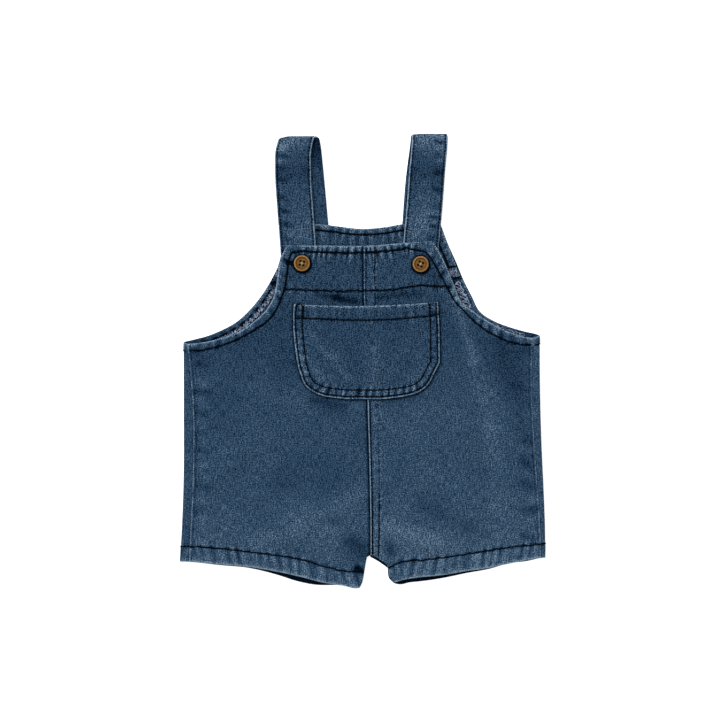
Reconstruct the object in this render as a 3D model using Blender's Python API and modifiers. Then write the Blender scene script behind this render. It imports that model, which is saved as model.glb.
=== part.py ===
"""Denim short overalls for a baby, lying flat with the front up.

The tables and the functions work in millimetres, and the meshes are in metres.
X runs to the right across the garment, Y up towards the straps, and Z up from
the surface that it lies on. Left and right are as seen from above.

Each half of the front and of the back is a panel ruled between its inner edge
(inner leg and centre seam) and its outer edge (side and armhole). The back
panels wrap round the side folds to the side seams, which lie on the front.
"""
import math
from collections import namedtuple

import bmesh
import bpy
import numpy as np

MM = 0.001

# Cloth and the way its layers lie
CLOTH = 1.2             # wall of the body cloth
SEAM_GAP = 0.3          # between pieces that are sewn edge to edge
LAYER_GAP = 0.3         # between pieces that lie on each other
FACING_CLOTH = 0.9      # wall of the facing and of the turned bands
STRAP_THICK = 2.0       # two plies
STRAP_WIDTH = 31.2
STRAP_BEND = 2.5        # outer radius of the fold at the top of a strap
FOLD_BEND = 2.0         # outer radius of the side folds
STRAP_TOP = 2.0 * STRAP_BEND
FRONT_LOW = 1.7         # underside of the front in the middle of the body
FRONT_EDGE = 2.0 * FOLD_BEND - CLOTH  # and along the side seams and armholes
FRONT_OVER_STRAP = STRAP_TOP + LAYER_GAP
SIDE_RISE = (105.0, 140.0)  # the front rises to its edge height between these X
BIB_RISE = (-30.0, 4.0)     # and between these Y
TENT_MARGIN = 5.0       # the front keeps its height this far beside a strap
TENT_BELOW = 8.0        # and this far below its end
TENT_REACH = 34.0       # and then comes down over this distance
CREASE_FADE = 0.35      # share of a crease's length in which each end dies away
HEM_REACH = 60.0        # how far up a hem's own curve bends the rows
TOP_REACH = 30.0        # how far down a top edge's curve bends them
POCKET_GAP = 0.45
BAND_WIDTH = 8.0        # turned band inside the back armholes
BAND_INSET = 0.6
BAND_TOP = 70.0
BAND_END = 146.0        # the band stops short of the side folds
BAND_STEPS = 12
FACING_LOW = 72.0       # lower edge of the back bib's facing
FACING_SIDES = {"low_left": -76.4, "low_right": 85.4, "top_left": -63.8, "top_right": 67.7}
FACING_COLUMNS = 16
FACING_ROWS = 5

# Buttons and buttonholes
BUTTON_RADIUS = 7.0
BUTTON_THICK = 2.6
BUTTON_RIM = 1.5
BUTTON_DISH = 0.8
BUTTON_STEPS = 28
HOLE_RADIUS = 0.9
HOLE_SPACING = 3.0
SHANK_RADIUS = 0.7
SLOT_LENGTH = 17.0
SLOT_WIDTH = 2.2
SLOT_DEPTH = 6.0        # height of the tool that cuts a buttonhole

# How finely the surfaces are cut
FRONT_COLUMNS = 11
FRONT_STEPS = 2         # rows cut from one table row to the next
BACK_COLUMNS = 10
FOLD_STEPS = 6
STRIP_STEPS = 2
FOLD_ZONE = 12.0        # closely cut stretch at the outer edge of a back panel
STRIP_LEAST = 2.4

DENIM = (0.045, 0.093, 0.165)
DENIM_INSIDE = (0.110, 0.180, 0.270)
BUTTON_TAN = (0.380, 0.175, 0.045)
THREAD = (0.008, 0.013, 0.030)

FrontRow = namedtuple("FrontRow", "inner_x inner_y outer_x outer_y turn")
BackRow = namedtuple("BackRow", "inner_x inner_y outer_x outer_y place turn")
Crease = namedtuple("Crease", "start_x start_y end_x end_y width height")
Strap = namedtuple("Strap", "front back top end")
Button = namedtuple("Button", "x y turn_degrees slot_shift")

SEAM = None             # an inner_x that lies on the centre seam

# Front rows from the hem up. "turn" says which edge turns sharply there, and the
# side seam runs straight from row to row.
FRONT_LEFT_ROWS = (
    FrontRow(-2.4, -198.5, -151.0, -175.4, "both"),
    FrontRow(0.2, -192.4, -150.6, -168.0, "outer"),
    FrontRow(2.5, -179.0, -150.2, -158.0, "outer"),
    FrontRow(3.9, -171.6, -149.8, -150.0, "both"),
    FrontRow(SEAM, -169.8, -149.4, -142.0, "both"),
    FrontRow(SEAM, -139.0, -147.9, -112.0, "outer"),
    FrontRow(SEAM, -90.0, -147.1, -72.0, "outer"),
    FrontRow(SEAM, -40.0, -147.8, -38.0, "outer"),
    FrontRow(SEAM, -8.0, -149.8, -13.0, "outer"),
    FrontRow(SEAM, 5.0, -152.3, 14.0, "outer"),
    FrontRow(SEAM, 12.0, -142.5, 14.8, ""),
    FrontRow(SEAM, 19.0, -127.5, 17.7, ""),
    FrontRow(SEAM, 27.0, -107.5, 24.5, ""),
    FrontRow(SEAM, 37.0, -92.6, 35.0, ""),
    FrontRow(SEAM, 46.0, -82.6, 45.1, ""),
    FrontRow(SEAM, 58.0, -76.6, 57.0, ""),
    FrontRow(SEAM, 72.0, -74.0, 72.0, ""),
    FrontRow(SEAM, 87.0, -71.6, 87.0, ""),
    FrontRow(SEAM, 99.3, -65.8, 99.6, "both"),
)
FRONT_RIGHT_ROWS = (
    FrontRow(27.8, -193.8, 155.5, -172.2, "both"),
    FrontRow(23.4, -189.0, 155.4, -166.0, "outer"),
    FrontRow(21.5, -178.8, 155.2, -158.0, "both"),
    FrontRow(13.0, -172.4, 154.9, -150.0, "outer"),
    FrontRow(SEAM, -169.8, 154.5, -142.0, "both"),
    FrontRow(SEAM, -139.0, 152.6, -112.0, "outer"),
    FrontRow(SEAM, -90.0, 149.6, -72.0, "outer"),
    FrontRow(SEAM, -40.0, 147.6, -36.0, "outer"),
    FrontRow(SEAM, -8.0, 147.2, -8.0, "outer"),
    FrontRow(SEAM, 6.0, 147.9, 19.2, "outer"),
    FrontRow(SEAM, 13.0, 139.5, 20.4, ""),
    FrontRow(SEAM, 21.0, 125.0, 25.3, ""),
    FrontRow(SEAM, 30.0, 110.5, 33.0, ""),
    FrontRow(SEAM, 41.0, 97.8, 41.2, ""),
    FrontRow(SEAM, 54.0, 86.4, 50.0, ""),
    FrontRow(SEAM, 67.0, 79.6, 65.2, ""),
    FrontRow(SEAM, 79.0, 73.2, 80.6, ""),
    FrontRow(SEAM, 91.0, 66.4, 94.7, ""),
    FrontRow(SEAM, 99.3, 60.8, 103.3, "both"),
)

# Back rows from the hem up. At "seam" outer_x is the side seam's place on the
# front, at "fold" it is the fold itself, and "flat" lies under the front.
BACK_LEFT_ROWS = (
    BackRow(-2.2, -196.9, -151.0, -175.4, "seam", "both"),
    BackRow(0.2, -192.2, -150.6, -168.0, "seam", "outer"),
    BackRow(2.5, -179.0, -150.2, -158.0, "seam", "outer"),
    BackRow(3.9, -171.9, -149.8, -150.0, "seam", "both"),
    BackRow(SEAM, -170.4, -149.4, -142.0, "seam", "both"),
    BackRow(SEAM, -139.0, -147.9, -112.0, "seam", "outer"),
    BackRow(SEAM, -90.0, -147.1, -72.0, "seam", "outer"),
    BackRow(SEAM, -42.0, -147.8, -38.0, "seam", "outer"),
    BackRow(SEAM, -14.0, -149.8, -13.0, "seam", "outer"),
    BackRow(SEAM, 1.0, -153.0, 14.0, "seam", "outer"),
    BackRow(SEAM, 7.0, -156.0, 15.6, "fold", ""),
    BackRow(SEAM, 11.0, -152.5, 16.6, "flat", ""),
    BackRow(SEAM, 16.0, -144.0, 18.6, "flat", ""),
    BackRow(SEAM, 21.0, -133.0, 21.7, "flat", ""),
    BackRow(SEAM, 29.0, -117.5, 28.6, "flat", ""),
    BackRow(SEAM, 37.0, -105.5, 36.6, "flat", ""),
    BackRow(SEAM, 50.0, -92.6, 50.2, "flat", ""),
    BackRow(SEAM, 66.0, -81.4, 66.6, "flat", ""),
    BackRow(SEAM, 85.0, -71.8, 86.0, "flat", ""),
    BackRow(SEAM, 100.0, -67.2, 102.0, "flat", ""),
    BackRow(SEAM, 114.4, -64.5, 117.6, "flat", "both"),
)
BACK_RIGHT_ROWS = (
    BackRow(27.6, -194.7, 155.5, -172.2, "seam", "both"),
    BackRow(22.8, -189.5, 155.4, -166.0, "seam", "outer"),
    BackRow(21.9, -181.2, 155.2, -158.0, "seam", "both"),
    BackRow(13.7, -175.4, 154.9, -150.0, "seam", "outer"),
    BackRow(SEAM, -171.6, 154.5, -142.0, "seam", "both"),
    BackRow(SEAM, -139.0, 152.6, -112.0, "seam", "outer"),
    BackRow(SEAM, -90.0, 149.6, -72.0, "seam", "outer"),
    BackRow(SEAM, -42.0, 147.6, -36.0, "seam", "outer"),
    BackRow(SEAM, -14.0, 147.2, -8.0, "seam", "outer"),
    BackRow(SEAM, 1.0, 148.6, 19.2, "seam", "outer"),
    BackRow(SEAM, 8.0, 154.6, 21.3, "fold", ""),
    BackRow(SEAM, 12.0, 150.8, 22.9, "flat", ""),
    BackRow(SEAM, 17.0, 142.0, 24.8, "flat", ""),
    BackRow(SEAM, 22.0, 130.5, 28.0, "flat", ""),
    BackRow(SEAM, 30.0, 115.5, 33.6, "flat", ""),
    BackRow(SEAM, 39.0, 102.3, 42.3, "flat", ""),
    BackRow(SEAM, 52.0, 95.0, 56.0, "flat", ""),
    BackRow(SEAM, 68.0, 87.5, 71.0, "flat", ""),
    BackRow(SEAM, 84.0, 81.8, 85.0, "flat", ""),
    BackRow(SEAM, 100.0, 74.6, 101.0, "flat", ""),
    BackRow(SEAM, 114.4, 68.4, 117.6, "flat", "both"),
)

# Curves as matching lists: where along the first, how far in the second
FRONT_SEAM = {"y": (-170.0, -139.0, -36.0, 52.0, 99.0), "x": (7.0, 6.9, 4.3, 1.3, 0.9)}
BACK_SEAM = {"y": (-171.0, -139.0, 0.0, 114.0), "x": (6.6, 5.2, 2.0, 0.6)}
FOLD_LEFT = {"y": (-176.0, -149.0, -110.0, -40.0, 16.0),
             "x": (-159.2, -157.7, -156.2, -155.9, -156.0)}
FOLD_RIGHT = {"y": (-173.0, -147.0, -114.0, -70.0, -3.0, 21.0),
              "x": (159.3, 159.2, 158.0, 156.0, 154.6, 154.6)}
HEMS = {
    "front_left": {"x": (-151.0, -125.0, -99.0, -72.6, -52.0, -35.7, -22.0, -14.0, -9.5, -5.5, -2.4),
                   "y": (-175.4, -178.0, -180.3, -184.8, -189.4, -193.6, -195.8, -197.2, -198.4, -198.9,
                         -198.5)},
    "front_right": {"x": (27.8, 34.5, 47.8, 62.0, 75.5, 90.0, 108.8, 120.0, 142.0, 155.5),
                    "y": (-193.8, -191.8, -189.5, -188.2, -186.4, -183.9, -181.4, -179.0, -174.4,
                          -172.2)},
    "back_left": {"x": (-165.0, -151.0, -125.0, -99.0, -72.6, -58.0, -41.0, -20.0, -2.2),
                  "y": (-175.6, -176.0, -178.8, -181.3, -187.8, -192.5, -195.9, -196.1, -196.9)},
    "back_right": {"x": (27.6, 32.5, 41.0, 50.0, 64.0, 76.0, 90.0, 108.8, 130.0, 142.0, 157.0, 165.0),
                   "y": (-194.7, -195.6, -193.9, -193.0, -191.1, -188.9, -185.9, -182.5, -176.9,
                         -175.5, -172.5, -172.2)},
}
BACK_TOP = {"x": (-64.5, -40.5, -29.2, 0.6, 21.8, 35.7, 68.4),
            "y": (117.6, 118.8, 117.6, 114.4, 116.2, 118.6, 117.6)}
FRONT_TOP = {"x": (-65.8, -30.0, 0.9, 30.0, 60.8), "y": (99.6, 99.4, 99.3, 101.2, 103.3)}

# The largest folds of the front, each a soft ridge along a straight line
CREASES = (
    Crease(79.0, 50.0, 113.0, -28.0, 10.0, 1.5),
    Crease(20.0, -128.0, 74.0, -166.0, 11.0, 1.7),
    Crease(64.0, -108.0, 122.0, -148.0, 13.0, 1.3),
    Crease(-92.0, -160.0, -10.0, -118.0, 13.0, 1.7),
    Crease(-132.0, -106.0, -92.0, -66.0, 12.0, 0.8),
)

# Straps: the middle of each run by height, in front and behind
STRAPS = {
    "left": Strap(front={"y": (66.0, 100.0, 131.0, 164.0, 186.0, 195.0),
                         "x": (-54.6, -56.2, -58.6, -60.5, -59.7, -57.3)},
                  back={"y": (118.0, 148.0, 170.0, 188.0, 195.0),
                        "x": (-45.3, -48.0, -50.1, -52.2, -53.6)},
                  top=195.2, end=66.0),
    "right": Strap(front={"y": (66.0, 100.0, 131.0, 164.0, 190.0, 197.0),
                          "x": (48.6, 51.0, 53.9, 56.3, 58.5, 58.6)},
                   back={"y": (118.0, 160.0, 190.0, 197.0),
                         "x": (50.2, 53.5, 57.3, 58.0)},
                   top=197.2, end=66.0),
}
STRAP_COLUMNS = 4
STRAP_BACK_STEPS = 14
STRAP_BEND_STEPS = 8
STRAP_FRONT_STEPS = 20
BUTTONS = {"left": Button(-52.6, 84.0, 10.0, -6.9), "right": Button(50.5, 83.3, 25.0, 0.0)}

# The pocket's rows from the bottom up: its left and right edge
POCKET_ROWS = {
    "left_x": (-14.0, -32.6, -42.6, -49.8, -53.8, -56.6, -58.6, -60.0, -60.2, -59.6),
    "left_y": (-33.9, -31.6, -27.8, -22.0, -13.0, -3.0, 11.0, 26.0, 38.0, 48.6),
    "right_x": (16.0, 35.0, 48.6, 56.9, 62.2, 67.3, 67.1, 66.9, 66.3, 65.6),
    "right_y": (-34.0, -31.8, -28.0, -21.6, -12.0, -2.0, 12.0, 27.0, 38.5, 50.6),
}
POCKET_TOP_DIP = 2.6
POCKET_COLUMNS = 12


def spline(places, values, at):
    """Smooth curve through the values, as cubic pieces with even slopes."""
    places = np.asarray(places, float)
    values = np.asarray(values, float)
    at = np.clip(np.asarray(at, float), places[0], places[-1])
    slopes = np.gradient(values, places)
    piece = np.clip(np.searchsorted(places, at, side="right") - 1, 0, len(places) - 2)
    width = places[piece + 1] - places[piece]
    t = (at - places[piece]) / width
    return (values[piece] * (1 + 2 * t) * (1 - t) ** 2
            + values[piece + 1] * t * t * (3 - 2 * t)
            + slopes[piece] * width * t * (1 - t) ** 2
            - slopes[piece + 1] * width * t * t * (1 - t))


def along(curve, first, second, at):
    """Value of a named curve's second list at a place in its first."""
    return spline(curve[first], curve[second], at)


def ease(low, high, value):
    """0 below low, 1 above high, and a smooth step between."""
    t = np.clip((value - low) / (high - low), 0.0, 1.0)
    return t * t * (3.0 - 2.0 * t)


def strap_middle(run, y):
    return along(run, "y", "x", y)


def front_underside(x, y):
    """Height of the front's underside: it lies low in the middle of the body,
    higher at the seams and armholes, over the straps, and along its folds."""
    edge = np.maximum(ease(*SIDE_RISE, np.abs(x)), ease(*BIB_RISE, y))
    height = FRONT_LOW + (FRONT_EDGE - FRONT_LOW) * edge
    for strap in STRAPS.values():
        beside = np.abs(x - strap_middle(strap.front, y)) - 0.5 * STRAP_WIDTH - TENT_MARGIN
        below = strap.end - TENT_BELOW - y
        away = np.hypot(np.maximum(beside, 0.0), np.maximum(below, 0.0))
        raised = 1.0 - ease(0.0, TENT_REACH, away)
        height = height + (FRONT_OVER_STRAP - height) * raised
    for crease in CREASES:
        run = np.array((crease.end_x - crease.start_x, crease.end_y - crease.start_y))
        length = math.hypot(*run)
        run /= length
        ahead = (x - crease.start_x) * run[0] + (y - crease.start_y) * run[1]
        aside = (x - crease.start_x) * -run[1] + (y - crease.start_y) * run[0]
        share = ahead / length
        ends = ease(0.0, CREASE_FADE, share) * ease(0.0, CREASE_FADE, 1.0 - share)
        height = height + crease.height * ends * np.exp(-((aside / crease.width) ** 2))
    return height


def edge_points(places, turns, key, steps):
    """Points of an edge through the rows' own, smooth except at its corners."""
    corners = [row for row, turn in enumerate(turns) if turn in (key, "both")]
    runs = []
    for first, last in zip(corners[:-1], corners[1:]):
        rows = np.arange(first, last + 1)
        at = np.linspace(first, last, (last - first) * steps + 1)
        run = np.stack([spline(rows, places[rows, axis], at) for axis in (0, 1)], axis=1)
        runs.append(run if last == corners[-1] else run[:-1])
    return np.concatenate(runs)


def bend_end(points, row, curve, reach):
    """Bring a panel's end row onto its curve, and fade that out over its reach."""
    wanted = along(curve, "x", "y", points[row, :, 0])
    shift = wanted - points[row, :, 1]
    distance = np.abs(points[:, :, 1] - points[row, :, 1])
    fade = np.clip(1.0 - distance / reach, 0.0, 1.0)
    fade[row] = 1.0
    points[:, :, 1] += fade * shift


def front_points(name, rows):
    """Plan of one half of the front, as a grid of rows and columns."""
    side = 1.0 if rows[0].outer_x > 0.0 else -1.0
    turns = [row.turn for row in rows]
    inner = []
    for row in rows:
        seam = float(along(FRONT_SEAM, "y", "x", row.inner_y)) + side * 0.5 * SEAM_GAP
        inner.append((seam if row.inner_x is SEAM else row.inner_x, row.inner_y))
    outer = np.array([(row.outer_x, row.outer_y) for row in rows])
    inner = edge_points(np.array(inner), turns, "inner", FRONT_STEPS)
    outer = edge_points(outer, turns, "outer", FRONT_STEPS)
    across = np.linspace(0.0, 1.0, FRONT_COLUMNS + 1)[None, :, None]
    points = inner[:, None, :] * (1.0 - across) + outer[:, None, :] * across
    bend_end(points, 0, HEMS[name], HEM_REACH)
    bend_end(points, -1, FRONT_TOP, TOP_REACH)
    return points


def wrapped_length(row, fold_x):
    """Distance of a back row's outer end from the middle, along the cloth."""
    start = abs(fold_x) - FOLD_BEND
    if row.place == "seam":
        strip = start - (abs(row.outer_x) + SEAM_GAP)
        return start + math.pi * FOLD_BEND + strip
    if row.place == "fold":
        return start + 0.5 * math.pi * FOLD_BEND
    return abs(row.outer_x)


def back_points(name, rows, fold):
    """Plan of one half of the back, laid open: distance along the cloth and Y."""
    side = 1.0 if rows[0].outer_x > 0.0 else -1.0
    turns = [row.turn for row in rows]
    inner, outer = [], []
    for row in rows:
        seam = float(along(BACK_SEAM, "y", "x", row.inner_y)) + side * 0.5 * SEAM_GAP
        inner.append((seam if row.inner_x is SEAM else row.inner_x, row.inner_y))
        fold_x = float(along(fold, "y", "x", row.outer_y))
        outer.append((side * wrapped_length(row, fold_x), row.outer_y))
    inner = edge_points(np.array(inner), turns, "inner", 1)
    outer = edge_points(np.array(outer), turns, "outer", 1)
    fold_x = np.abs(along(fold, "y", "x", outer[:, 1]))
    length = np.abs(outer[:, 0])
    start = side * inner[:, 0]
    bend_from = np.minimum(fold_x - FOLD_BEND, length - FOLD_ZONE)
    bend_to = np.minimum(bend_from + math.pi * FOLD_BEND, length - STRIP_LEAST)
    stations = (start, bend_from, bend_to, length)
    distance = [start[:, None]]
    for low, high, steps in zip(stations[:-1], stations[1:], (BACK_COLUMNS, FOLD_STEPS, STRIP_STEPS)):
        share = np.linspace(0.0, 1.0, steps + 1)[None, 1:]
        distance.append(low[:, None] + (high - low)[:, None] * share)
    distance = np.concatenate(distance, axis=1)
    share = (distance - start[:, None]) / (length - start)[:, None]
    y = inner[:, None, 1] * (1.0 - share) + outer[:, None, 1] * share
    points = np.stack((side * distance, y), axis=2)
    bend_end(points, 0, HEMS[name], HEM_REACH)
    bend_end(points, -1, BACK_TOP, TOP_REACH)
    return points


def wrap_round_fold(points, fold):
    """Lay the open back panel down and carry it round the fold onto the front."""
    side = np.sign(points[-1, -1, 0])
    distance = side * points[:, :, 0]
    y = points[:, :, 1]
    start = np.abs(along(fold, "y", "x", y)) - FOLD_BEND
    angle = np.clip((distance - start) / FOLD_BEND, 0.0, math.pi)
    beyond = np.maximum(distance - start - math.pi * FOLD_BEND, 0.0)
    x = np.minimum(distance, start) + FOLD_BEND * np.sin(angle) - beyond
    z = FOLD_BEND * (1.0 - np.cos(angle))
    return np.stack((side * x, y, z), axis=2)


def lift(points, height):
    """Give a plan its heights."""
    return np.concatenate((points, height[:, :, None]), axis=2)


def offset_edge(edge, distance):
    """Move an open line sideways, to its left, by a distance."""
    step = np.gradient(edge, axis=0)
    step /= np.linalg.norm(step, axis=1)[:, None]
    return edge + distance * np.stack((-step[:, 1], step[:, 0]), axis=1)


def band_points(rows, side):
    """Plan of the turned band inside a back armhole."""
    edge = np.array([(row.outer_x, row.outer_y) for row in rows
                     if abs(row.outer_x) < BAND_END and row.outer_y < BAND_TOP + 2.0])
    rows = np.arange(len(edge))
    at = np.linspace(0.0, len(edge) - 1.0, BAND_STEPS + 1)
    edge = np.stack([spline(rows, edge[:, axis], at) for axis in (0, 1)], axis=1)
    lines = [offset_edge(edge, side * away)
             for away in np.linspace(BAND_INSET, BAND_INSET + BAND_WIDTH, 3)]
    points = np.stack(lines, axis=1)
    points[:, :, 1] = np.minimum(points[:, :, 1], BAND_TOP)
    return points


def facing_points():
    """Plan of the facing inside the top of the back bib."""
    across = np.linspace(0.0, 1.0, FACING_COLUMNS + 1)[None, :]
    up = np.linspace(0.0, 1.0, FACING_ROWS + 1)[:, None]
    left = FACING_SIDES["low_left"] * (1.0 - up) + FACING_SIDES["top_left"] * up
    right = FACING_SIDES["low_right"] * (1.0 - up) + FACING_SIDES["top_right"] * up
    x = left * (1.0 - across) + right * across
    top = along(BACK_TOP, "x", "y", x[-1]) - SEAM_GAP
    y = FACING_LOW * (1.0 - up) + top[None, :] * up
    return np.stack((x, y), axis=2)


def strap_row(middle, across, y, z):
    """One row across a strap."""
    flat = np.zeros_like(across)
    return np.stack((middle + across, y + flat, z + flat), axis=1)


def strap_points(strap):
    """Outer face of a strap: up behind, over the fold, and down the front."""
    across = np.linspace(-0.5, 0.5, STRAP_COLUMNS + 1) * STRAP_WIDTH
    bend_y = strap.top - STRAP_BEND
    low_x = strap_middle(strap.back, strap.back["y"][0]) + across
    low_y = along(BACK_TOP, "x", "y", low_x) + SEAM_GAP
    rows = []
    for share in np.linspace(0.0, 1.0, STRAP_BACK_STEPS + 1):
        y = low_y * (1.0 - share) + bend_y * share
        rows.append(strap_row(strap_middle(strap.back, y), across, y, 0.0))
    behind = float(strap_middle(strap.back, bend_y))
    before = float(strap_middle(strap.front, bend_y))
    for turn in np.linspace(0.0, math.pi, STRAP_BEND_STEPS + 1)[1:-1]:
        round_share = 0.5 * (1.0 - math.cos(turn))
        middle = behind + (before - behind) * round_share
        rows.append(strap_row(middle, across, bend_y + STRAP_BEND * math.sin(turn),
                              STRAP_TOP * round_share))
    for share in np.linspace(0.0, 1.0, STRAP_FRONT_STEPS + 1):
        y = bend_y * (1.0 - share) + strap.end * share
        rows.append(strap_row(strap_middle(strap.front, y), across, y, STRAP_TOP))
    return np.stack(rows)


def pocket_points():
    """Plan of the pocket, ruled from its left edge to its right."""
    across = np.linspace(0.0, 1.0, POCKET_COLUMNS + 1)[None, :]
    left = [np.asarray(POCKET_ROWS[key])[:, None] for key in ("left_x", "left_y")]
    right = [np.asarray(POCKET_ROWS[key])[:, None] for key in ("right_x", "right_y")]
    points = np.stack([a * (1.0 - across) + b * across for a, b in zip(left, right)], axis=2)
    dip = POCKET_TOP_DIP * np.sin(math.pi * across[0]) ** 0.8
    points[-1, :, 1] -= dip
    points[-2, :, 1] -= 0.5 * dip
    return points


def material(name, color, roughness):
    """Principled material in one colour."""
    made = bpy.data.materials.new(name)
    made.use_nodes = True
    shader = made.node_tree.nodes["Principled BSDF"]
    shader.inputs["Base Color"].default_value = (*color, 1.0)
    shader.inputs["Roughness"].default_value = roughness
    shader.inputs["Metallic"].default_value = 0.0
    return made


def new_object(name, mesh, collection, finish):
    """Link a mesh as a named object with its own material."""
    made = bpy.data.objects.new(name, mesh)
    mesh.materials.append(finish)
    collection.objects.link(made)
    return made


def sheet(name, points, thickness, collection, finish, faces_up=False):
    """Open grid of points, made a wall that grows away from the side it faces.

    The grid faces down over most of its area, so that a flat piece is given as
    its underside, unless faces_up says that most of it faces up.
    """
    rows, columns = points.shape[:2]
    net = bmesh.new()
    corners = [[net.verts.new(points[row, column] * MM) for column in range(columns)]
               for row in range(rows)]
    for row in range(rows - 1):
        for column in range(columns - 1):
            net.faces.new((corners[row][column], corners[row][column + 1],
                           corners[row + 1][column + 1], corners[row + 1][column]))
    net.normal_update()
    upward = sum(face.normal.z * face.calc_area() for face in net.faces) > 0.0
    if upward != faces_up:
        bmesh.ops.reverse_faces(net, faces=net.faces)
    mesh = bpy.data.meshes.new(name)
    net.to_mesh(mesh)
    net.free()
    made = new_object(name, mesh, collection, finish)
    wall = made.modifiers.new("wall", "SOLIDIFY")
    wall.thickness = thickness * MM
    wall.offset = -1.0
    wall.use_even_offset = False
    return made


def cutter(name, mesh, collection):
    """Hidden wire object that cuts others."""
    made = bpy.data.objects.new(name, mesh)
    collection.objects.link(made)
    made.display_type = "WIRE"
    made.hide_render = True
    return made


def cut(target, tool):
    """Boolean difference with an exact solver."""
    step = target.modifiers.new("cut", "BOOLEAN")
    step.operation = "DIFFERENCE"
    step.solver = "EXACT"
    step.object = tool


def cylinders(name, places, radius, low, high, segments):
    """Mesh of upright cylinders at places in the plan."""
    net = bmesh.new()
    for x, y in places:
        made = bmesh.ops.create_cone(net, cap_ends=True, segments=segments, radius1=radius * MM,
                                     radius2=radius * MM, depth=(high - low) * MM)
        bmesh.ops.translate(net, verts=made["verts"], vec=(x * MM, y * MM, 0.5 * (low + high) * MM))
    mesh = bpy.data.meshes.new(name)
    net.to_mesh(mesh)
    net.free()
    return mesh


def add_buttonhole(front, button, low, cutters):
    """Slot through the front, drawn outwards by as much as the strap pulls on it."""
    net = bmesh.new()
    bmesh.ops.create_cube(net, size=1.0)
    middle = button.x + button.slot_shift
    bmesh.ops.scale(net, verts=net.verts, vec=(SLOT_LENGTH * MM, SLOT_WIDTH * MM, SLOT_DEPTH * MM))
    bmesh.ops.translate(net, verts=net.verts, vec=(middle * MM, button.y * MM, low * MM))
    mesh = bpy.data.meshes.new("buttonhole_cutter")
    net.to_mesh(mesh)
    net.free()
    cut(front, cutter(front.name + "_buttonhole_cutter", mesh, cutters))


def add_button(side, button, bib_top, collection, cutters, finish, thread):
    """Turned button with a raised rim, four holes, and its thread shank below."""
    low = bib_top + LAYER_GAP
    dish = BUTTON_THICK - BUTTON_DISH
    rim = BUTTON_RADIUS - BUTTON_RIM
    profile = ((0.0, dish), (0.6 * rim, dish), (0.88 * rim, dish), (rim, 0.94 * BUTTON_THICK),
               (rim + 0.4 * BUTTON_RIM, BUTTON_THICK), (rim + 0.8 * BUTTON_RIM, 0.88 * BUTTON_THICK),
               (BUTTON_RADIUS, 0.55 * BUTTON_THICK), (rim + 0.67 * BUTTON_RIM, 0.15 * BUTTON_THICK),
               (rim, 0.0), (0.0, 0.0))
    mesh = bpy.data.meshes.new("button_" + side)
    mesh.from_pydata([(x * MM, 0.0, z * MM) for x, z in profile],
                     [(step, step + 1) for step in range(len(profile) - 1)], [])
    made = new_object("button_" + side, mesh, collection, finish)
    made.location = (button.x * MM, button.y * MM, low * MM)
    made.rotation_euler = (0.0, 0.0, math.radians(button.turn_degrees))
    turned = made.modifiers.new("turned", "SCREW")
    turned.axis = "Z"
    turned.angle = 2.0 * math.pi
    turned.steps = BUTTON_STEPS
    turned.render_steps = BUTTON_STEPS
    turned.use_merge_vertices = True
    turned.merge_threshold = 0.00005
    reach = 0.5 * HOLE_SPACING
    places = [(x, y) for x in (-reach, reach) for y in (-reach, reach)]
    holes = cutter("button_" + side + "_hole_cutter",
                   cylinders("button_holes", places, HOLE_RADIUS, -1.0, BUTTON_THICK + 1.0, 12),
                   cutters)
    holes.location = made.location
    holes.rotation_euler = made.rotation_euler
    cut(made, holes)
    post = cylinders("button_thread_" + side, [(button.x, button.y)], SHANK_RADIUS,
                     STRAP_TOP + LAYER_GAP, low - LAYER_GAP, 10)
    new_object("button_thread_" + side, post, collection, thread)


def main():
    for old in list(bpy.data.objects):
        bpy.data.objects.remove(old, do_unlink=True)
    garment = bpy.data.collections.new("denim_short_overalls")
    cutters = bpy.data.collections.new("cutters")
    bpy.context.scene.collection.children.link(garment)
    bpy.context.scene.collection.children.link(cutters)
    denim = {name: material("denim_" + name, DENIM, 0.9)
             for name in ("front_left", "front_right", "back_left", "back_right",
                          "strap_left", "strap_right", "pocket")}
    inside = {name: material("inside_" + name, DENIM_INSIDE, 0.95)
              for name in ("facing", "band_left", "band_right")}

    backs = (("left", BACK_LEFT_ROWS, FOLD_LEFT), ("right", BACK_RIGHT_ROWS, FOLD_RIGHT))
    for side, back_rows, fold in backs:
        name = "back_" + side
        points = wrap_round_fold(back_points(name, back_rows, fold), fold)
        sheet(name, points, CLOTH, garment, denim[name])
        band = band_points(back_rows, -1.0 if side == "left" else 1.0)
        low = np.full(band.shape[:2], CLOTH + LAYER_GAP)
        sheet("armhole_band_" + side, lift(band, low), FACING_CLOTH, garment, inside["band_" + side])

    facing = facing_points()
    low = np.full(facing.shape[:2], CLOTH + LAYER_GAP)
    sheet("back_facing", lift(facing, low), FACING_CLOTH, garment, inside["facing"])

    for side, strap in STRAPS.items():
        name = "strap_" + side
        sheet(name, strap_points(strap), STRAP_THICK, garment, denim[name], faces_up=True)

    for side, front_rows in (("left", FRONT_LEFT_ROWS), ("right", FRONT_RIGHT_ROWS)):
        name = "front_" + side
        plan = front_points(name, front_rows)
        low = front_underside(plan[:, :, 0], plan[:, :, 1])
        front = sheet(name, lift(plan, low), CLOTH, garment, denim[name])
        button = BUTTONS[side]
        bib_low = float(front_underside(np.array(button.x), np.array(button.y)))
        add_buttonhole(front, button, bib_low, cutters)
        add_button(side, button, bib_low + CLOTH, garment, cutters,
                   material("button_" + side, BUTTON_TAN, 0.45),
                   material("button_thread_" + side, THREAD, 0.8))

    plan = pocket_points()
    low = front_underside(plan[:, :, 0], plan[:, :, 1]) + CLOTH + POCKET_GAP
    sheet("pocket", lift(plan, low), CLOTH, garment, denim["pocket"])


main()
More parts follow.
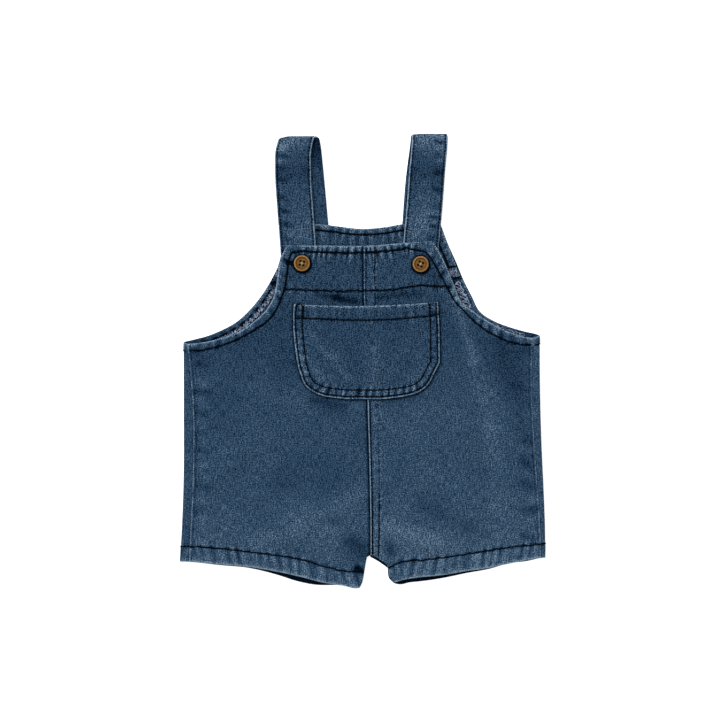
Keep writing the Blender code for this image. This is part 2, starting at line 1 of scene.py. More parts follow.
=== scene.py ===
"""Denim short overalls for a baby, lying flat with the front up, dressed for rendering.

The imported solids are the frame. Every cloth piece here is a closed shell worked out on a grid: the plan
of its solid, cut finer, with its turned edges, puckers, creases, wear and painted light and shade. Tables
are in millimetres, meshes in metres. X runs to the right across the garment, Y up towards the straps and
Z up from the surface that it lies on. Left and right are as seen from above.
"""
from __future__ import annotations

import logging
import math
from dataclasses import dataclass
from enum import Enum
from typing import Callable, ClassVar, Iterable, Sequence

import bpy
import numpy as np
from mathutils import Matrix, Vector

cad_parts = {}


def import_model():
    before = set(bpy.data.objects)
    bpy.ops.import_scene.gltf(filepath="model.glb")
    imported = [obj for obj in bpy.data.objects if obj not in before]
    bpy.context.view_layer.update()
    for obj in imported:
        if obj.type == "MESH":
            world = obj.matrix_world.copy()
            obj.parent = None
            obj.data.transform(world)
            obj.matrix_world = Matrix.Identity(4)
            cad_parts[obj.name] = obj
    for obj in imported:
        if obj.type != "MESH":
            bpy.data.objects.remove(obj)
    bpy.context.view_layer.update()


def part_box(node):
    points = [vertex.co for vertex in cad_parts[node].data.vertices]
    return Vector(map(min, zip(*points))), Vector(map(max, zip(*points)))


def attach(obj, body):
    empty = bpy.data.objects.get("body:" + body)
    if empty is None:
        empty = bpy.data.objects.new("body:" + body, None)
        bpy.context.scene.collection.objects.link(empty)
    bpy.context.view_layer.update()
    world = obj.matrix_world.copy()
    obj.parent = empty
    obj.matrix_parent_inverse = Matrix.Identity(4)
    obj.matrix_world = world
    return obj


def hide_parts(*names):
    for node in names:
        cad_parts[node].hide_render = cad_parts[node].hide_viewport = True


Array = np.ndarray
Material = bpy.types.Material
Socket = bpy.types.NodeSocket
Thing = bpy.types.Object
Color = tuple[float, float, float]
Place = tuple[float, float]
Spot = tuple[float, float, float]

MM = 0.001
BODY = "root"
CLOTH_UV = "cloth"
UP = np.array((0.0, 0.0, 1.0))

CLOTH = 1.2                 # wall of the body cloth
SEAM_GAP = 0.3              # between pieces that meet
LAYER_GAP = 0.3             # between pieces that lie on each other
STRAP_WIDTH = 31.2
STRAP_THICK = 2.0
STRAP_BEND = 2.5            # outer radius of the fold at the top of a strap
FOLD_BEND = 2.0             # outer radius of the side folds
FRONT_LOW = 1.7             # height of the front's underside in the middle, at its edges, over a strap
FRONT_EDGE = 2.0 * FOLD_BEND - CLOTH
FRONT_OVER_STRAP = 2.0 * STRAP_BEND + LAYER_GAP
RIM = np.array((0.0, 0.1, 0.35, 0.8))   # grid lines that round an edge off
STRAP_EASE = 5.0            # how far beside a strap the front stays up on it
STRAP_TIP = 8.0             # the same below its end
STRAP_SLOPE = 34.0          # over which the front then slopes down
BACK_FOOT = 118.0           # Y at which the straps meet the back's top edge
HEM_REACH = 60.0            # how far up a panel the bends of its hem are felt
TOP_REACH = 30.0            # the same down from its top
OVERLOCK_STEP = 0.16        # between the points of an overlocked cord
THREAD_LIFT = 0.12          # of a stitch's middle above the cloth
GROOVE = 0.75               # width of the bell of the groove along a row of stitches
FADE = 6.0                  # length over which a stretch of puckers begins and ends
BLOCK = 6000                # places that are measured against a line at a time

log = logging.getLogger("overalls")


class Slot(Enum):
    """Names of material slots."""

    DENIM = "denim"
    INSIDE = "denim_inside"
    BUTTON = "button"
    THREAD = "thread"


class Side(Enum):
    """Half of the garment, with the sign of its X."""

    LEFT = -1
    RIGHT = 1

    @property
    def word(self) -> str:
        """Name of the side as the nodes have it."""
        return self.name.lower()


# -------- curves and waves

def spline(places: Sequence[float], values: Sequence[float], at: Array) -> Array:
    """Cubic Hermite curve through the values, with the slope at each from its neighbours.

    Args:
        places: Rising places of the values.
        values: The values.
        at: Where the curve is wanted; outside the places it keeps its end values.

    Returns:
        The curve there.
    """
    places = np.asarray(places, float)
    values = np.asarray(values, float)
    at = np.clip(np.asarray(at, float), places[0], places[-1])
    slopes = np.gradient(values, places)
    piece = np.clip(np.searchsorted(places, at, side="right") - 1, 0, len(places) - 2)
    width = places[piece + 1] - places[piece]
    t = (at - places[piece]) / width
    return (values[piece] * (1 + 2 * t) * (1 - t) ** 2 + values[piece + 1] * t * t * (3 - 2 * t)
            + slopes[piece] * width * t * (1 - t) ** 2 - slopes[piece + 1] * width * t * t * (1 - t))


def ease(low: float, high: float, value: Array) -> Array:
    """Smooth step: 0 at low, 1 at high, 3t^2 - 2t^3 between."""
    t = np.clip((value - low) / (high - low), 0.0, 1.0)
    return t * t * (3.0 - 2.0 * t)


def bell(value: Array, width: float) -> Array:
    """Bell curve of height 1: e to the power of minus (value / width) squared."""
    return np.exp(-((value / width) ** 2))


def waver(arc: Array, period: float, seed: int) -> Array:
    """Slow uneven wave, within about 1: four sines of unlike periods and seeded phases, averaged.

    Args:
        arc: Distance along a line.
        period: Mean period.
        seed: Picks the phases.

    Returns:
        The wave.
    """
    rng = np.random.default_rng(seed)
    periods = period * np.array((0.62, 0.87, 1.21, 1.9))
    phases = rng.uniform(0.0, math.tau, 4)
    return sum(np.sin(math.tau * arc / p + f) for p, f in zip(periods, phases)) * 0.5


def ripple(arc: Array, pitch: float, seed: int) -> Array:
    """Puckers along a sewn line: broad ridges and sharper troughs, cos(a) - cos(2a) / 4, whose
    phase and height waver.

    Args:
        arc: Distance along the line.
        pitch: Mean distance from pucker to pucker.
        seed: Picks how they waver.

    Returns:
        Height of the wave, from about -1.2 to 0.8.
    """
    angle = math.tau * (arc / pitch + 0.25 * waver(arc, 5.0 * pitch, seed))
    return (np.cos(angle) - 0.25 * np.cos(2.0 * angle)) * (0.8 + 0.4 * waver(arc, 3.1 * pitch, seed + 1))


def billow(x: Array, y: Array, size: float, seed: int) -> Array:
    """Soft unevenness of lying cloth: seven plane waves of seeded directions, averaged.

    Args:
        x, y: Plan.
        size: Mean wavelength.
        seed: Picks directions, phases and wavelengths.

    Returns:
        Height, within about 1.
    """
    rng = np.random.default_rng(seed)
    total = np.zeros(np.shape(x))
    for turn, phase, stretch in rng.uniform((0.0, 0.0, 0.7), (math.pi, math.tau, 1.5), (7, 3)):
        total += np.sin(math.tau * (x * math.cos(turn) + y * math.sin(turn)) / (size * stretch) + phase)
    return total / 3.5


def distances(points: Array) -> Array:
    """Distance of each point along the line through all of them."""
    return np.concatenate(((0.0,), np.cumsum(np.linalg.norm(np.diff(points, axis=0), axis=1))))


def between(at: Array, places: Array, table: Array) -> Array:
    """Rows of a table at places between its own, in straight steps."""
    return np.stack([np.interp(at, places, column) for column in table.T], axis=-1)


def unit(ways: Array) -> Array:
    """The same ways, each 1 long."""
    return ways / np.linalg.norm(ways, axis=1)[:, None]


def left_of(ways: Array) -> Array:
    """Ways in the plan that lie a quarter turn to the left of others."""
    return np.stack((-ways[:, 1], ways[:, 0]), axis=1)


def raised(plan: Array, height: Array) -> Array:
    """Places in the plan with their heights."""
    return np.concatenate((plan, height[..., None]), axis=-1)


@dataclass(frozen=True)
class Curve:
    """Smooth curve of one coordinate over another, through values at places."""

    places: Sequence[float]
    values: Sequence[float]

    def at(self, place: Array) -> Array:
        """Value at a place."""
        return spline(self.places, self.values, place)


class Seamline:
    """Smooth line in the plan, measured along its length."""

    def __init__(self, points: Sequence[Place] | Array, smooth: bool = True) -> None:
        """Run the line through its points, and keep it as points about 1 mm apart.

        Args:
            points: The points, from one end to the other.
            smooth: Whether it curves from point to point or runs straight.
        """
        given = np.asarray(points, float)
        chord = distances(given)
        count = max(3, int(round(chord[-1])) + 1)
        at = np.linspace(0.0, chord[-1], count)
        self.points = np.stack([spline(chord, given[:, axis], at) if smooth
                                else np.interp(at, chord, given[:, axis]) for axis in (0, 1)], axis=1)
        self.arc = distances(self.points)
        self.length = float(self.arc[-1])

    @classmethod
    def over(cls, x: Array, y: Array) -> "Seamline":
        """Line in short straight steps over coordinates."""
        return cls(np.stack((x, y), axis=1), smooth=False)

    def at(self, arc: Array) -> Array:
        """Points at distances along the line."""
        return between(arc, self.arc, self.points)

    def offset(self, distance: float) -> "Seamline":
        """The line moved sideways, to its left."""
        aside = left_of(unit(np.gradient(self.points, axis=0)))
        return Seamline(self.points + distance * aside, smooth=False)

    def near(self, x: Array, y: Array) -> tuple[Array, Array]:
        """Foot of each place on the line: the nearer one of those on the two steps at its nearest point.

        Args:
            x, y: Plan.

        Returns:
            Distance from the line, positive on its left, and the foot's distance along it.
        """
        place = np.stack((np.ravel(x), np.ravel(y)), axis=1)
        blocks = np.array_split(place, max(1, len(place) // BLOCK))
        nearest = np.concatenate([((block[:, None] - self.points[None]) ** 2).sum(axis=2).argmin(axis=1)
                                  for block in blocks])
        first = np.clip(np.stack((nearest - 1, nearest)), 0, len(self.points) - 2)
        start = self.points[first]
        run = self.points[first + 1] - start
        share = np.clip(((place - start) * run).sum(axis=2) / (run * run).sum(axis=2), 0.0, 1.0)
        away = place - start - share[..., None] * run
        gap = np.hypot(away[..., 0], away[..., 1])
        side = np.where(run[..., 0] * away[..., 1] - run[..., 1] * away[..., 0] >= 0.0, 1.0, -1.0)
        arc = self.arc[first] + share * (self.arc[first + 1] - self.arc[first])
        gap, side, arc = (np.where(gap[1] < gap[0], value[1], value[0]) for value in (gap, side, arc))
        return (gap * side).reshape(np.shape(x)), arc.reshape(np.shape(x))


# -------- what is sewn and creased into the cloth

@dataclass
class Drape:
    """What the cloth has got at each place: height of its outer face, wall, and wear with painted light and
    shade.
    """

    height: Array
    wall: Array
    wear: Array

    @classmethod
    def even(cls, height: Array, wall: float, tone: Array | float) -> "Drape":
        """Cloth of one wall, before anything is worked into it."""
        return cls(height, np.full(height.shape, wall), np.full(height.shape, tone))

    def add(self, height: Array | float = 0.0, wall: Array | float = 0.0, wear: Array | float = 0.0) -> None:
        """Add to the height, the wall and the wear with its painted light and shade, which is paler above 0
        and darker below.
        """
        self.height = self.height + height
        self.wall = self.wall + wall
        self.wear = self.wear + wear

    def work(self, features: Iterable["Feature"], x: Array, y: Array) -> None:
        """Work features into the cloth at places in the plan."""
        for feature in features:
            feature.shape(x, y, self)


class Feature:
    """Something that is sewn or creased into the cloth."""

    def shape(self, x: Array, y: Array, drape: Drape) -> None:
        """Add the feature to the cloth.

        Args:
            x, y: Plan.
            drape: What it is added to.
        """
        raise NotImplementedError


@dataclass(frozen=True)
class Turning(Feature):
    """Edge that is turned in and stitched down, with puckers along its stitches."""

    edge: Seamline
    row: Seamline
    pitch: float            # from pucker to pucker
    swell: float            # height of the puckers
    reach: float            # how far they run beyond the stitches
    seed: int
    fold: float = 0.6       # what the turned cloth adds
    slant: float = 0.3      # how far the puckers lean, for each mm across
    worn: float = 0.85      # wear on the folded edge
    shade: float = 0.32     # wear and painted light and shade on the puckers
    pale: float = 0.05      # wear all over the turned cloth
    press: float = 0.7      # painted shade in the groove along the stitches
    stretch: Place = (-math.inf, math.inf)  # part of the row that puckers

    def shape(self, x: Array, y: Array, drape: Drape) -> None:
        """Add the turning.

        The wall grows by the fold between edge and stitches, a bell-shaped groove follows the stitches,
        and the puckers are a slanted ripple that dies away beyond them and towards the edge.

        Args:
            x, y: Plan.
            drape: What it is added to.
        """
        across, arc = self.row.near(x, y)
        middle = self.edge.at(np.array((0.5 * self.edge.length,)))
        across = across * float(np.sign(self.row.near(middle[:, 0], middle[:, 1])[0][0]))
        out = np.abs(self.edge.near(x, y)[0])
        band = ease(-0.9, 0.7, across)
        groove = bell(across, GROOVE)
        wave = ripple(arc + self.slant * across, self.pitch, self.seed)
        window = np.where(across > 0.0, 0.55 + 0.45 * bell(across, 5.0), bell(across, self.reach))
        window = window * ease(0.0, 2.0, out)
        stretch = (np.clip((arc - self.stretch[0]) / FADE, 0.0, 1.0)
                   * np.clip((self.stretch[1] - arc) / FADE, 0.0, 1.0))
        window = window * stretch
        chafe = (0.85 + 0.25 * waver(arc, 9.0, self.seed + 5)) * stretch
        edge = self.worn * (0.95 * bell(out, GROOVE) + 0.25 * bell(out, 2.4)) * chafe
        # Wear on the folded edge; painted light and shade on the puckers, partly wear; painted shade in the
        # groove along the stitches
        drape.add(self.fold * band - 0.5 * self.press * groove + self.swell * wave * window,
                  self.fold * band,
                  edge + self.shade * wave * window - self.press * groove + self.pale * band)


@dataclass(frozen=True)
class Groove(Feature):
    """Sewn line that presses the cloth down, with small puckers to both sides, painted shade in its groove
    and painted light and shade on the puckers.
    """

    row: Seamline
    pitch: float = 6.0
    swell: float = 0.1
    reach: float = 4.0
    seed: int = 0
    depth: float = 0.3
    shade: float = 0.15
    dark: float = 0.4

    def shape(self, x: Array, y: Array, drape: Drape) -> None:
        """Add the line to the cloth: a bell-shaped groove, and a ripple that fades away from it.

        Args:
            x, y: Plan.
            drape: What it is added to.
        """
        across, arc = self.row.near(x, y)
        wave = ripple(arc, self.pitch, self.seed) * bell(across, self.reach)
        groove = bell(across, GROOVE)
        # Painted light and shade on the puckers, and painted shade in the groove
        drape.add(self.swell * wave - self.depth * groove, 0.0, self.shade * wave - self.dark * groove)


@dataclass(frozen=True)
class Mark(Feature):
    """Soft streak or spot of shade and lift along a straight line."""

    x0: float
    y0: float
    x1: float
    y1: float
    width: float
    shade: float
    lift: float = 0.0
    core: float = 0.0       # distance within which it is full

    def shape(self, x: Array, y: Array, drape: Drape) -> None:
        """Add the mark: a bell curve of the distance from its line, beyond its core.

        Args:
            x, y: Plan.
            drape: What it is added to.
        """
        run = np.array((self.x1 - self.x0, self.y1 - self.y0))
        square = max(float(run @ run), 1e-6)    # a spot has no run
        share = np.clip(((x - self.x0) * run[0] + (y - self.y0) * run[1]) / square, 0.0, 1.0)
        away = np.hypot(x - self.x0 - share * run[0], y - self.y0 - share * run[1])
        soft = bell(np.maximum(away - self.core, 0.0), self.width)
        drape.add(self.lift * soft, 0.0, self.shade * soft)


@dataclass(frozen=True)
class Crease:
    """Soft ridge along a straight line, which dies away at both ends."""

    start: Place
    end: Place
    width: float
    height: float

    def ridge(self, x: Array, y: Array) -> Array:
        """Height of the ridge: a bell curve across it, times a smooth rise and fall along it.

        Args:
            x, y: Plan.

        Returns:
            Height in mm.
        """
        run = np.subtract(self.end, self.start)
        length = math.hypot(*run)
        run = run / length
        share = ((x - self.start[0]) * run[0] + (y - self.start[1]) * run[1]) / length
        aside = (y - self.start[1]) * run[0] - (x - self.start[0]) * run[1]
        return self.height * ease(0.0, 0.35, share) * ease(0.0, 0.35, 1.0 - share) * bell(aside, self.width)


# -------- finishes

def linear(red: int, green: int, blue: int) -> Color:
    """Linear colour of an 8-bit display colour."""
    return tuple((v / 255.0 / 12.92) if v <= 10 else ((v / 255.0 + 0.055) / 1.055) ** 2.4
                 for v in (red, green, blue))


class Graph:
    """Nodes of one material."""

    def __init__(self, name: str) -> None:
        """Start a material of that name, with its Principled shader."""
        self.material = bpy.data.materials.new(name)
        self.material.use_nodes = True
        self.tree = self.material.node_tree
        self.shader = self.tree.nodes["Principled BSDF"]

    def put(self, socket: Socket, value: object) -> None:
        """Give an input what it wants.

        Args:
            socket: The input.
            value: An output to link it to, a number, a vector or a colour.
        """
        if isinstance(value, Socket):
            self.tree.links.new(value, socket)
        elif isinstance(value, tuple) and len(value) == 3 and socket.type == "RGBA":
            socket.default_value = (*value, 1.0)
        else:
            socket.default_value = value

    def add(self, kind: str, inputs: dict[str, object], output: int | str = 0,
            **settings: object) -> Socket:
        """Add a node.

        Args:
            kind: Its type, after "ShaderNode".
            inputs: What each named or numbered input gets.
            output: Which of its outputs is wanted.
            **settings: Its own settings.

        Returns:
            That output.
        """
        node = self.tree.nodes.new("ShaderNode" + kind)
        for name, value in settings.items():
            setattr(node, name, value)
        for key, value in inputs.items():
            self.put(node.inputs[key], value)
        return node.outputs[output]

    def math(self, operation: str, first: object, second: object = 0.0, third: object = 0.0,
             clamp: bool = False) -> Socket:
        """Work out one number from up to three."""
        return self.add("Math", {0: first, 1: second, 2: third}, operation=operation, use_clamp=clamp)

    def scaled(self, vector: object, x: float, y: float, z: float) -> Socket:
        """Stretch a vector by its axes."""
        return self.add("VectorMath", {0: vector, 1: (x, y, z)}, operation="MULTIPLY")

    def noise(self, vector: object, scale: float, detail: float = 2.0, roughness: float = 0.55) -> Socket:
        """Noise about 0, some 0.3 each way."""
        inputs = {"Vector": vector, "Scale": scale, "Detail": detail, "Roughness": roughness}
        return self.math("SUBTRACT", self.add("TexNoise", inputs), 0.5)

    def total(self, *terms: tuple[object, float]) -> Socket:
        """Sum of terms.

        Args:
            *terms: Each with its share.

        Returns:
            The sum.
        """
        value: object = 0.0
        for term, share in terms:
            value = self.math("MULTIPLY_ADD", term, share, value)
        return value

    def ramp(self, factor: object, stops: Sequence[tuple[float, Color]]) -> Socket:
        """Colour ramp.

        Args:
            factor: Where on the ramp.
            stops: Place and colour of each; the first two are its ends.

        Returns:
            The colour.
        """
        output = self.add("ValToRGB", {"Fac": factor})
        band = output.node.color_ramp
        for index, (place, color) in enumerate(stops):
            stop = band.elements[index] if index < 2 else band.elements.new(place)
            stop.position = place
            stop.color = (*color, 1.0)
        return output

    def blend(self, factor: object, first: object, second: object) -> Socket:
        """Mix two colours."""
        return self.add("Mix", {0: factor, 6: first, 7: second}, output=2, data_type="RGBA")

    def bump(self, height: object, strength: float, distance: float) -> None:
        """Give the shader a bump."""
        self.put(self.shader.inputs["Normal"],
                 self.add("Bump", {"Height": height, "Strength": strength, "Distance": distance}))

    def dress(self, color: object, roughness: object, **sockets: object) -> Material:
        """Set the shader's colour, roughness and other named sockets.

        Args:
            color: Base colour.
            roughness: Roughness.
            **sockets: Others, with _ for a space.

        Returns:
            The material.
        """
        self.put(self.shader.inputs["Base Color"], color)
        self.put(self.shader.inputs["Roughness"], roughness)
        for name, value in sockets.items():
            self.put(self.shader.inputs[name.replace("_", " ")], value)
        return self.material


@dataclass(frozen=True)
class Denim:
    """Washed indigo twill, worn pale on its edges, with a paler wrong side."""

    name: str = "washed_denim"
    # darkest: dark flecks of the weave, and painted shadows and grooves
    deep: Color = linear(0, 5, 17)
    dark: Color = linear(1, 29, 54)
    base: Color = linear(42, 65, 88)
    light: Color = linear(61, 89, 115)
    # palest: worn edges, and the painted highlights on puckers and ridges
    worn: Color = linear(128, 149, 167)
    wrong: Color = linear(92, 108, 126)
    roughness: float = 0.9
    grain: float = 1.1     # contrast of the weave
    crisp: float = 0.6      # what less washing adds to it above the waist
    waist: Place = (0.03, 0.06)

    def build(self) -> Material:
        """Weave, slubs, mottle, wear and painted light and shade as one tone, from indigo to worn white.

        The tone is 0.5 plus weighed noises of the speckle of the weft, the slubs of the warp, the
        mottle of the wash and the lines of the twill, plus the wear and the painted light and shade that the
        cloth carries.

        Returns:
            The material.
        """
        graph = Graph(self.name)
        uv = graph.add("UVMap", {}, uv_map=CLOTH_UV)
        mm = graph.scaled(uv, 1000.0, 1000.0, 1000.0)
        speckle = graph.noise(mm, 1.0, 2.0, 0.8)
        slub = graph.noise(graph.scaled(mm, 1.2, 0.16, 1.0), 1.0, 1.0)
        weft = graph.noise(graph.scaled(mm, 0.2, 1.2, 1.0), 1.0, 1.0)
        mottle = graph.noise(mm, 0.11, 3.0, 0.6)
        lines = graph.add("TexWave", {"Vector": graph.scaled(mm, 1.5, 0.8, 1.0), "Scale": 0.42,
                                      "Distortion": 1.2, "Detail": 1.0, "Detail Scale": 2.0}, 1,
                          bands_direction="DIAGONAL")
        twill = graph.math("SUBTRACT", lines, 0.5)
        wear = graph.add("Attribute", {}, 2, attribute_name="wear")
        rough_wear_and_shading = graph.math("MULTIPLY", wear, graph.total((1.0, 0.52), (speckle, 0.3), (slub, 0.2)))
        weave = graph.total((speckle, 2.5), (slub, 0.75), (weft, 0.3), (mottle, 0.08), (twill, 0.06))
        height = graph.add("SeparateXYZ", {0: graph.add("TexCoord", {}, "Object")}, 1)
        above = graph.add("MapRange", {"Value": height, "From Min": self.waist[0],
                                       "From Max": self.waist[1]})
        weave = graph.math("MULTIPLY", weave, graph.total((1.0, self.grain), (above, self.crisp)))
        grain = graph.math("MINIMUM", graph.math("ADD", weave, 0.5), 0.85)
        tone = graph.math("ADD", grain, rough_wear_and_shading, clamp=True)
        color = graph.ramp(tone, ((0.0, self.deep), (1.0, self.worn), (0.25, self.dark),
                                  (0.5, self.base), (0.8, self.light)))
        back = graph.add("Attribute", {}, 2, attribute_name="inside")
        pale = graph.blend(graph.total((1.0, 0.62), (speckle, 0.9), (twill, 0.25)), color, self.wrong)
        graph.bump(graph.total((speckle, 0.9), (slub, 0.6), (twill, 0.5), (weft, 0.3)), 0.45, 0.0004)
        roughness = graph.total((1.0, self.roughness), (speckle, 0.2))
        return graph.dress(graph.blend(back, color, pale), roughness, Specular_IOR_Level=0.04)


@dataclass(frozen=True)
class Thread:
    """Spun thread."""

    name: str
    shade: Color
    gleam: Color
    patchy: float = 0.0     # how unevenly it has faded

    def build(self) -> Material:
        """Fine twisted fibres: a stretched noise from shade to gleam.

        Returns:
            The material.
        """
        graph = Graph(self.name)
        place = graph.add("TexCoord", {}, "Object")
        fibre = graph.noise(graph.scaled(place, 4200.0, 2600.0, 4200.0), 1.0, 2.0)
        patch = graph.noise(place, 420.0, 1.0)
        mix = graph.total((1.0, 0.5), (fibre, 1.8), (patch, self.patchy))
        color = graph.blend(mix, self.shade, self.gleam)
        graph.bump(fibre, 0.4, 0.0001)
        return graph.dress(color, graph.total((1.0, 0.78), (fibre, 0.3)), Specular_IOR_Level=0.03)


@dataclass(frozen=True)
class Wood:
    """Warm turned button wood."""

    name: str
    middle: Place           # of the button, in metres
    shade: Color = linear(80, 48, 8)
    base: Color = linear(108, 73, 27)
    light: Color = linear(178, 144, 98)

    def build(self) -> Material:
        """Wavering grain along one direction, made paler and darker by the painted light and shade that the
        button carries.

        Returns:
            The material.
        """
        graph = Graph(self.name)
        place = graph.add("TexCoord", {}, "Object")
        own = graph.add("Mapping", {"Vector": place, "Location": (-self.middle[0], -self.middle[1], 0.0)},
                        vector_type="POINT")
        grain = graph.noise(graph.scaled(own, 260.0, 1500.0, 260.0), 1.0, 3.0, 0.6)
        fleck = graph.noise(own, 1400.0, 2.0)
        # Painted light and shade of the button's relief, down to near black in its holes
        turned = graph.add("Attribute", {}, 2, attribute_name="wear")
        tone = graph.math("ADD", graph.total((1.0, 0.5), (grain, 0.55), (fleck, 0.35)),
                          graph.math("MULTIPLY", turned, 0.5), clamp=True)
        color = graph.ramp(tone, ((0.0, linear(22, 8, 0)), (1.0, self.light), (0.28, self.shade),
                                  (0.5, self.base)))
        graph.bump(graph.total((grain, 1.0), (fleck, 0.4)), 0.25, 0.0002)
        return graph.dress(color, graph.total((1.0, 0.5), (grain, 0.4)), Specular_IOR_Level=0.12)


@dataclass(frozen=True)
class Floor:
    """Plain pale floor."""

    name: str = "pale_floor"
    color: Color = (0.93, 0.93, 0.93)
    glow: float = 0.60

    def build(self) -> Material:
        """Matt and almost white, and lit a little from within.

        Returns:
            The material.
        """
        graph = Graph(self.name)
        return graph.dress(self.color, 0.9, Specular_IOR_Level=0.1, Emission_Color=(1.0, 1.0, 1.0),
                           Emission_Strength=self.glow)


# -------- meshes

def new_thing(name: str, data: bpy.types.ID) -> Thing:
    """Put a mesh, a lamp or a camera into the scene."""
    thing = bpy.data.objects.new(name, data)
    bpy.context.scene.collection.objects.link(thing)
    return thing


def new_piece(name: str, mesh: bpy.types.Mesh, finish: Material,
              nodes: Sequence[str] = ()) -> Thing:
    """Link a mesh as a piece of the garment.

    Args:
        name: Its name.
        mesh: Its mesh, in place.
        finish: Its material.
        nodes: Solids that it stands for.

    Returns:
        The piece.
    """
    mesh.materials.append(finish)
    piece = new_thing(name, mesh)
    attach(piece, BODY)
    if nodes:
        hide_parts(*nodes)
    log.info("%s: %d faces", name, len(mesh.polygons))
    return piece


def new_mesh(name: str, points: Array, faces: Array, wear: Array | None = None,
             inside: Array | None = None, uv: Array | None = None) -> bpy.types.Mesh:
    """Smooth mesh from arrays.

    Args:
        name: Its name.
        points: Vertices in mm.
        faces: Four vertex numbers for each face; a triangle has its second one twice.
        wear: Wear and painted light and shade of each vertex.
        inside: 1 on the wrong side of the cloth, 0 on the right side.
        uv: Place of each vertex on the flat cloth, in mm.

    Returns:
        The mesh, in metres.
    """
    triangle = faces[:, 1] == faces[:, 2]
    mesh = bpy.data.meshes.new(name)
    mesh.from_pydata(points * MM, [], faces[~triangle].tolist() + faces[triangle][:, (0, 1, 3)].tolist())
    for key, values in (("wear", wear), ("inside", inside)):
        if values is not None:
            mesh.attributes.new(key, "FLOAT", "POINT").data.foreach_set("value", values.astype(np.float32))
    if uv is not None:
        corners = np.empty(len(mesh.loops), np.int32)
        mesh.loops.foreach_get("vertex_index", corners)
        layer = mesh.uv_layers.new(name=CLOTH_UV)
        layer.data.foreach_set("uv", (uv[corners] * MM).astype(np.float32).ravel())
    mesh.shade_smooth()
    mesh.update()
    return mesh


def quads(numbers: Array) -> Array:
    """Faces of a grid of vertex numbers."""
    return np.stack((numbers[:-1, :-1], numbers[:-1, 1:], numbers[1:, 1:], numbers[1:, :-1]),
                    axis=-1).reshape(-1, 4)


def tube_faces(rings: int, sides: int) -> Array:
    """Faces of a tube of rings, closed by a point at each end.

    Args:
        rings: Rings, numbered first and one after the other.
        sides: Points in each.

    Returns:
        Quads between the rings, and triangles from the end rings to the two points that follow.
    """
    numbers = np.arange(rings * sides).reshape(rings, sides)
    numbers = np.concatenate((numbers, numbers[:, :1]), axis=1)
    ends = [np.stack((ring[:-1], np.full(sides, tip), np.full(sides, tip), ring[1:])[::way], axis=1)
            for ring, tip, way in ((numbers[0], rings * sides, 1), (numbers[-1], rings * sides + 1, -1))]
    return np.concatenate((quads(numbers), *ends))


def rim_distance(points: Array) -> Array:
    """Distance of each point of a grid from the nearest of its four sides, along its lines.

    Args:
        points: The grid, rows x columns x 3.

    Returns:
        Distances, rows x columns.
    """
    ways = []
    for axis in (0, 1):
        steps = np.linalg.norm(np.diff(points, axis=axis), axis=2)
        first = np.zeros_like(np.take(steps, [0], axis=axis))
        along = np.cumsum(np.concatenate((first, steps), axis=axis), axis=axis)
        ways += [along, np.take(along, [-1], axis=axis) - along]
    return np.minimum.reduce(ways)


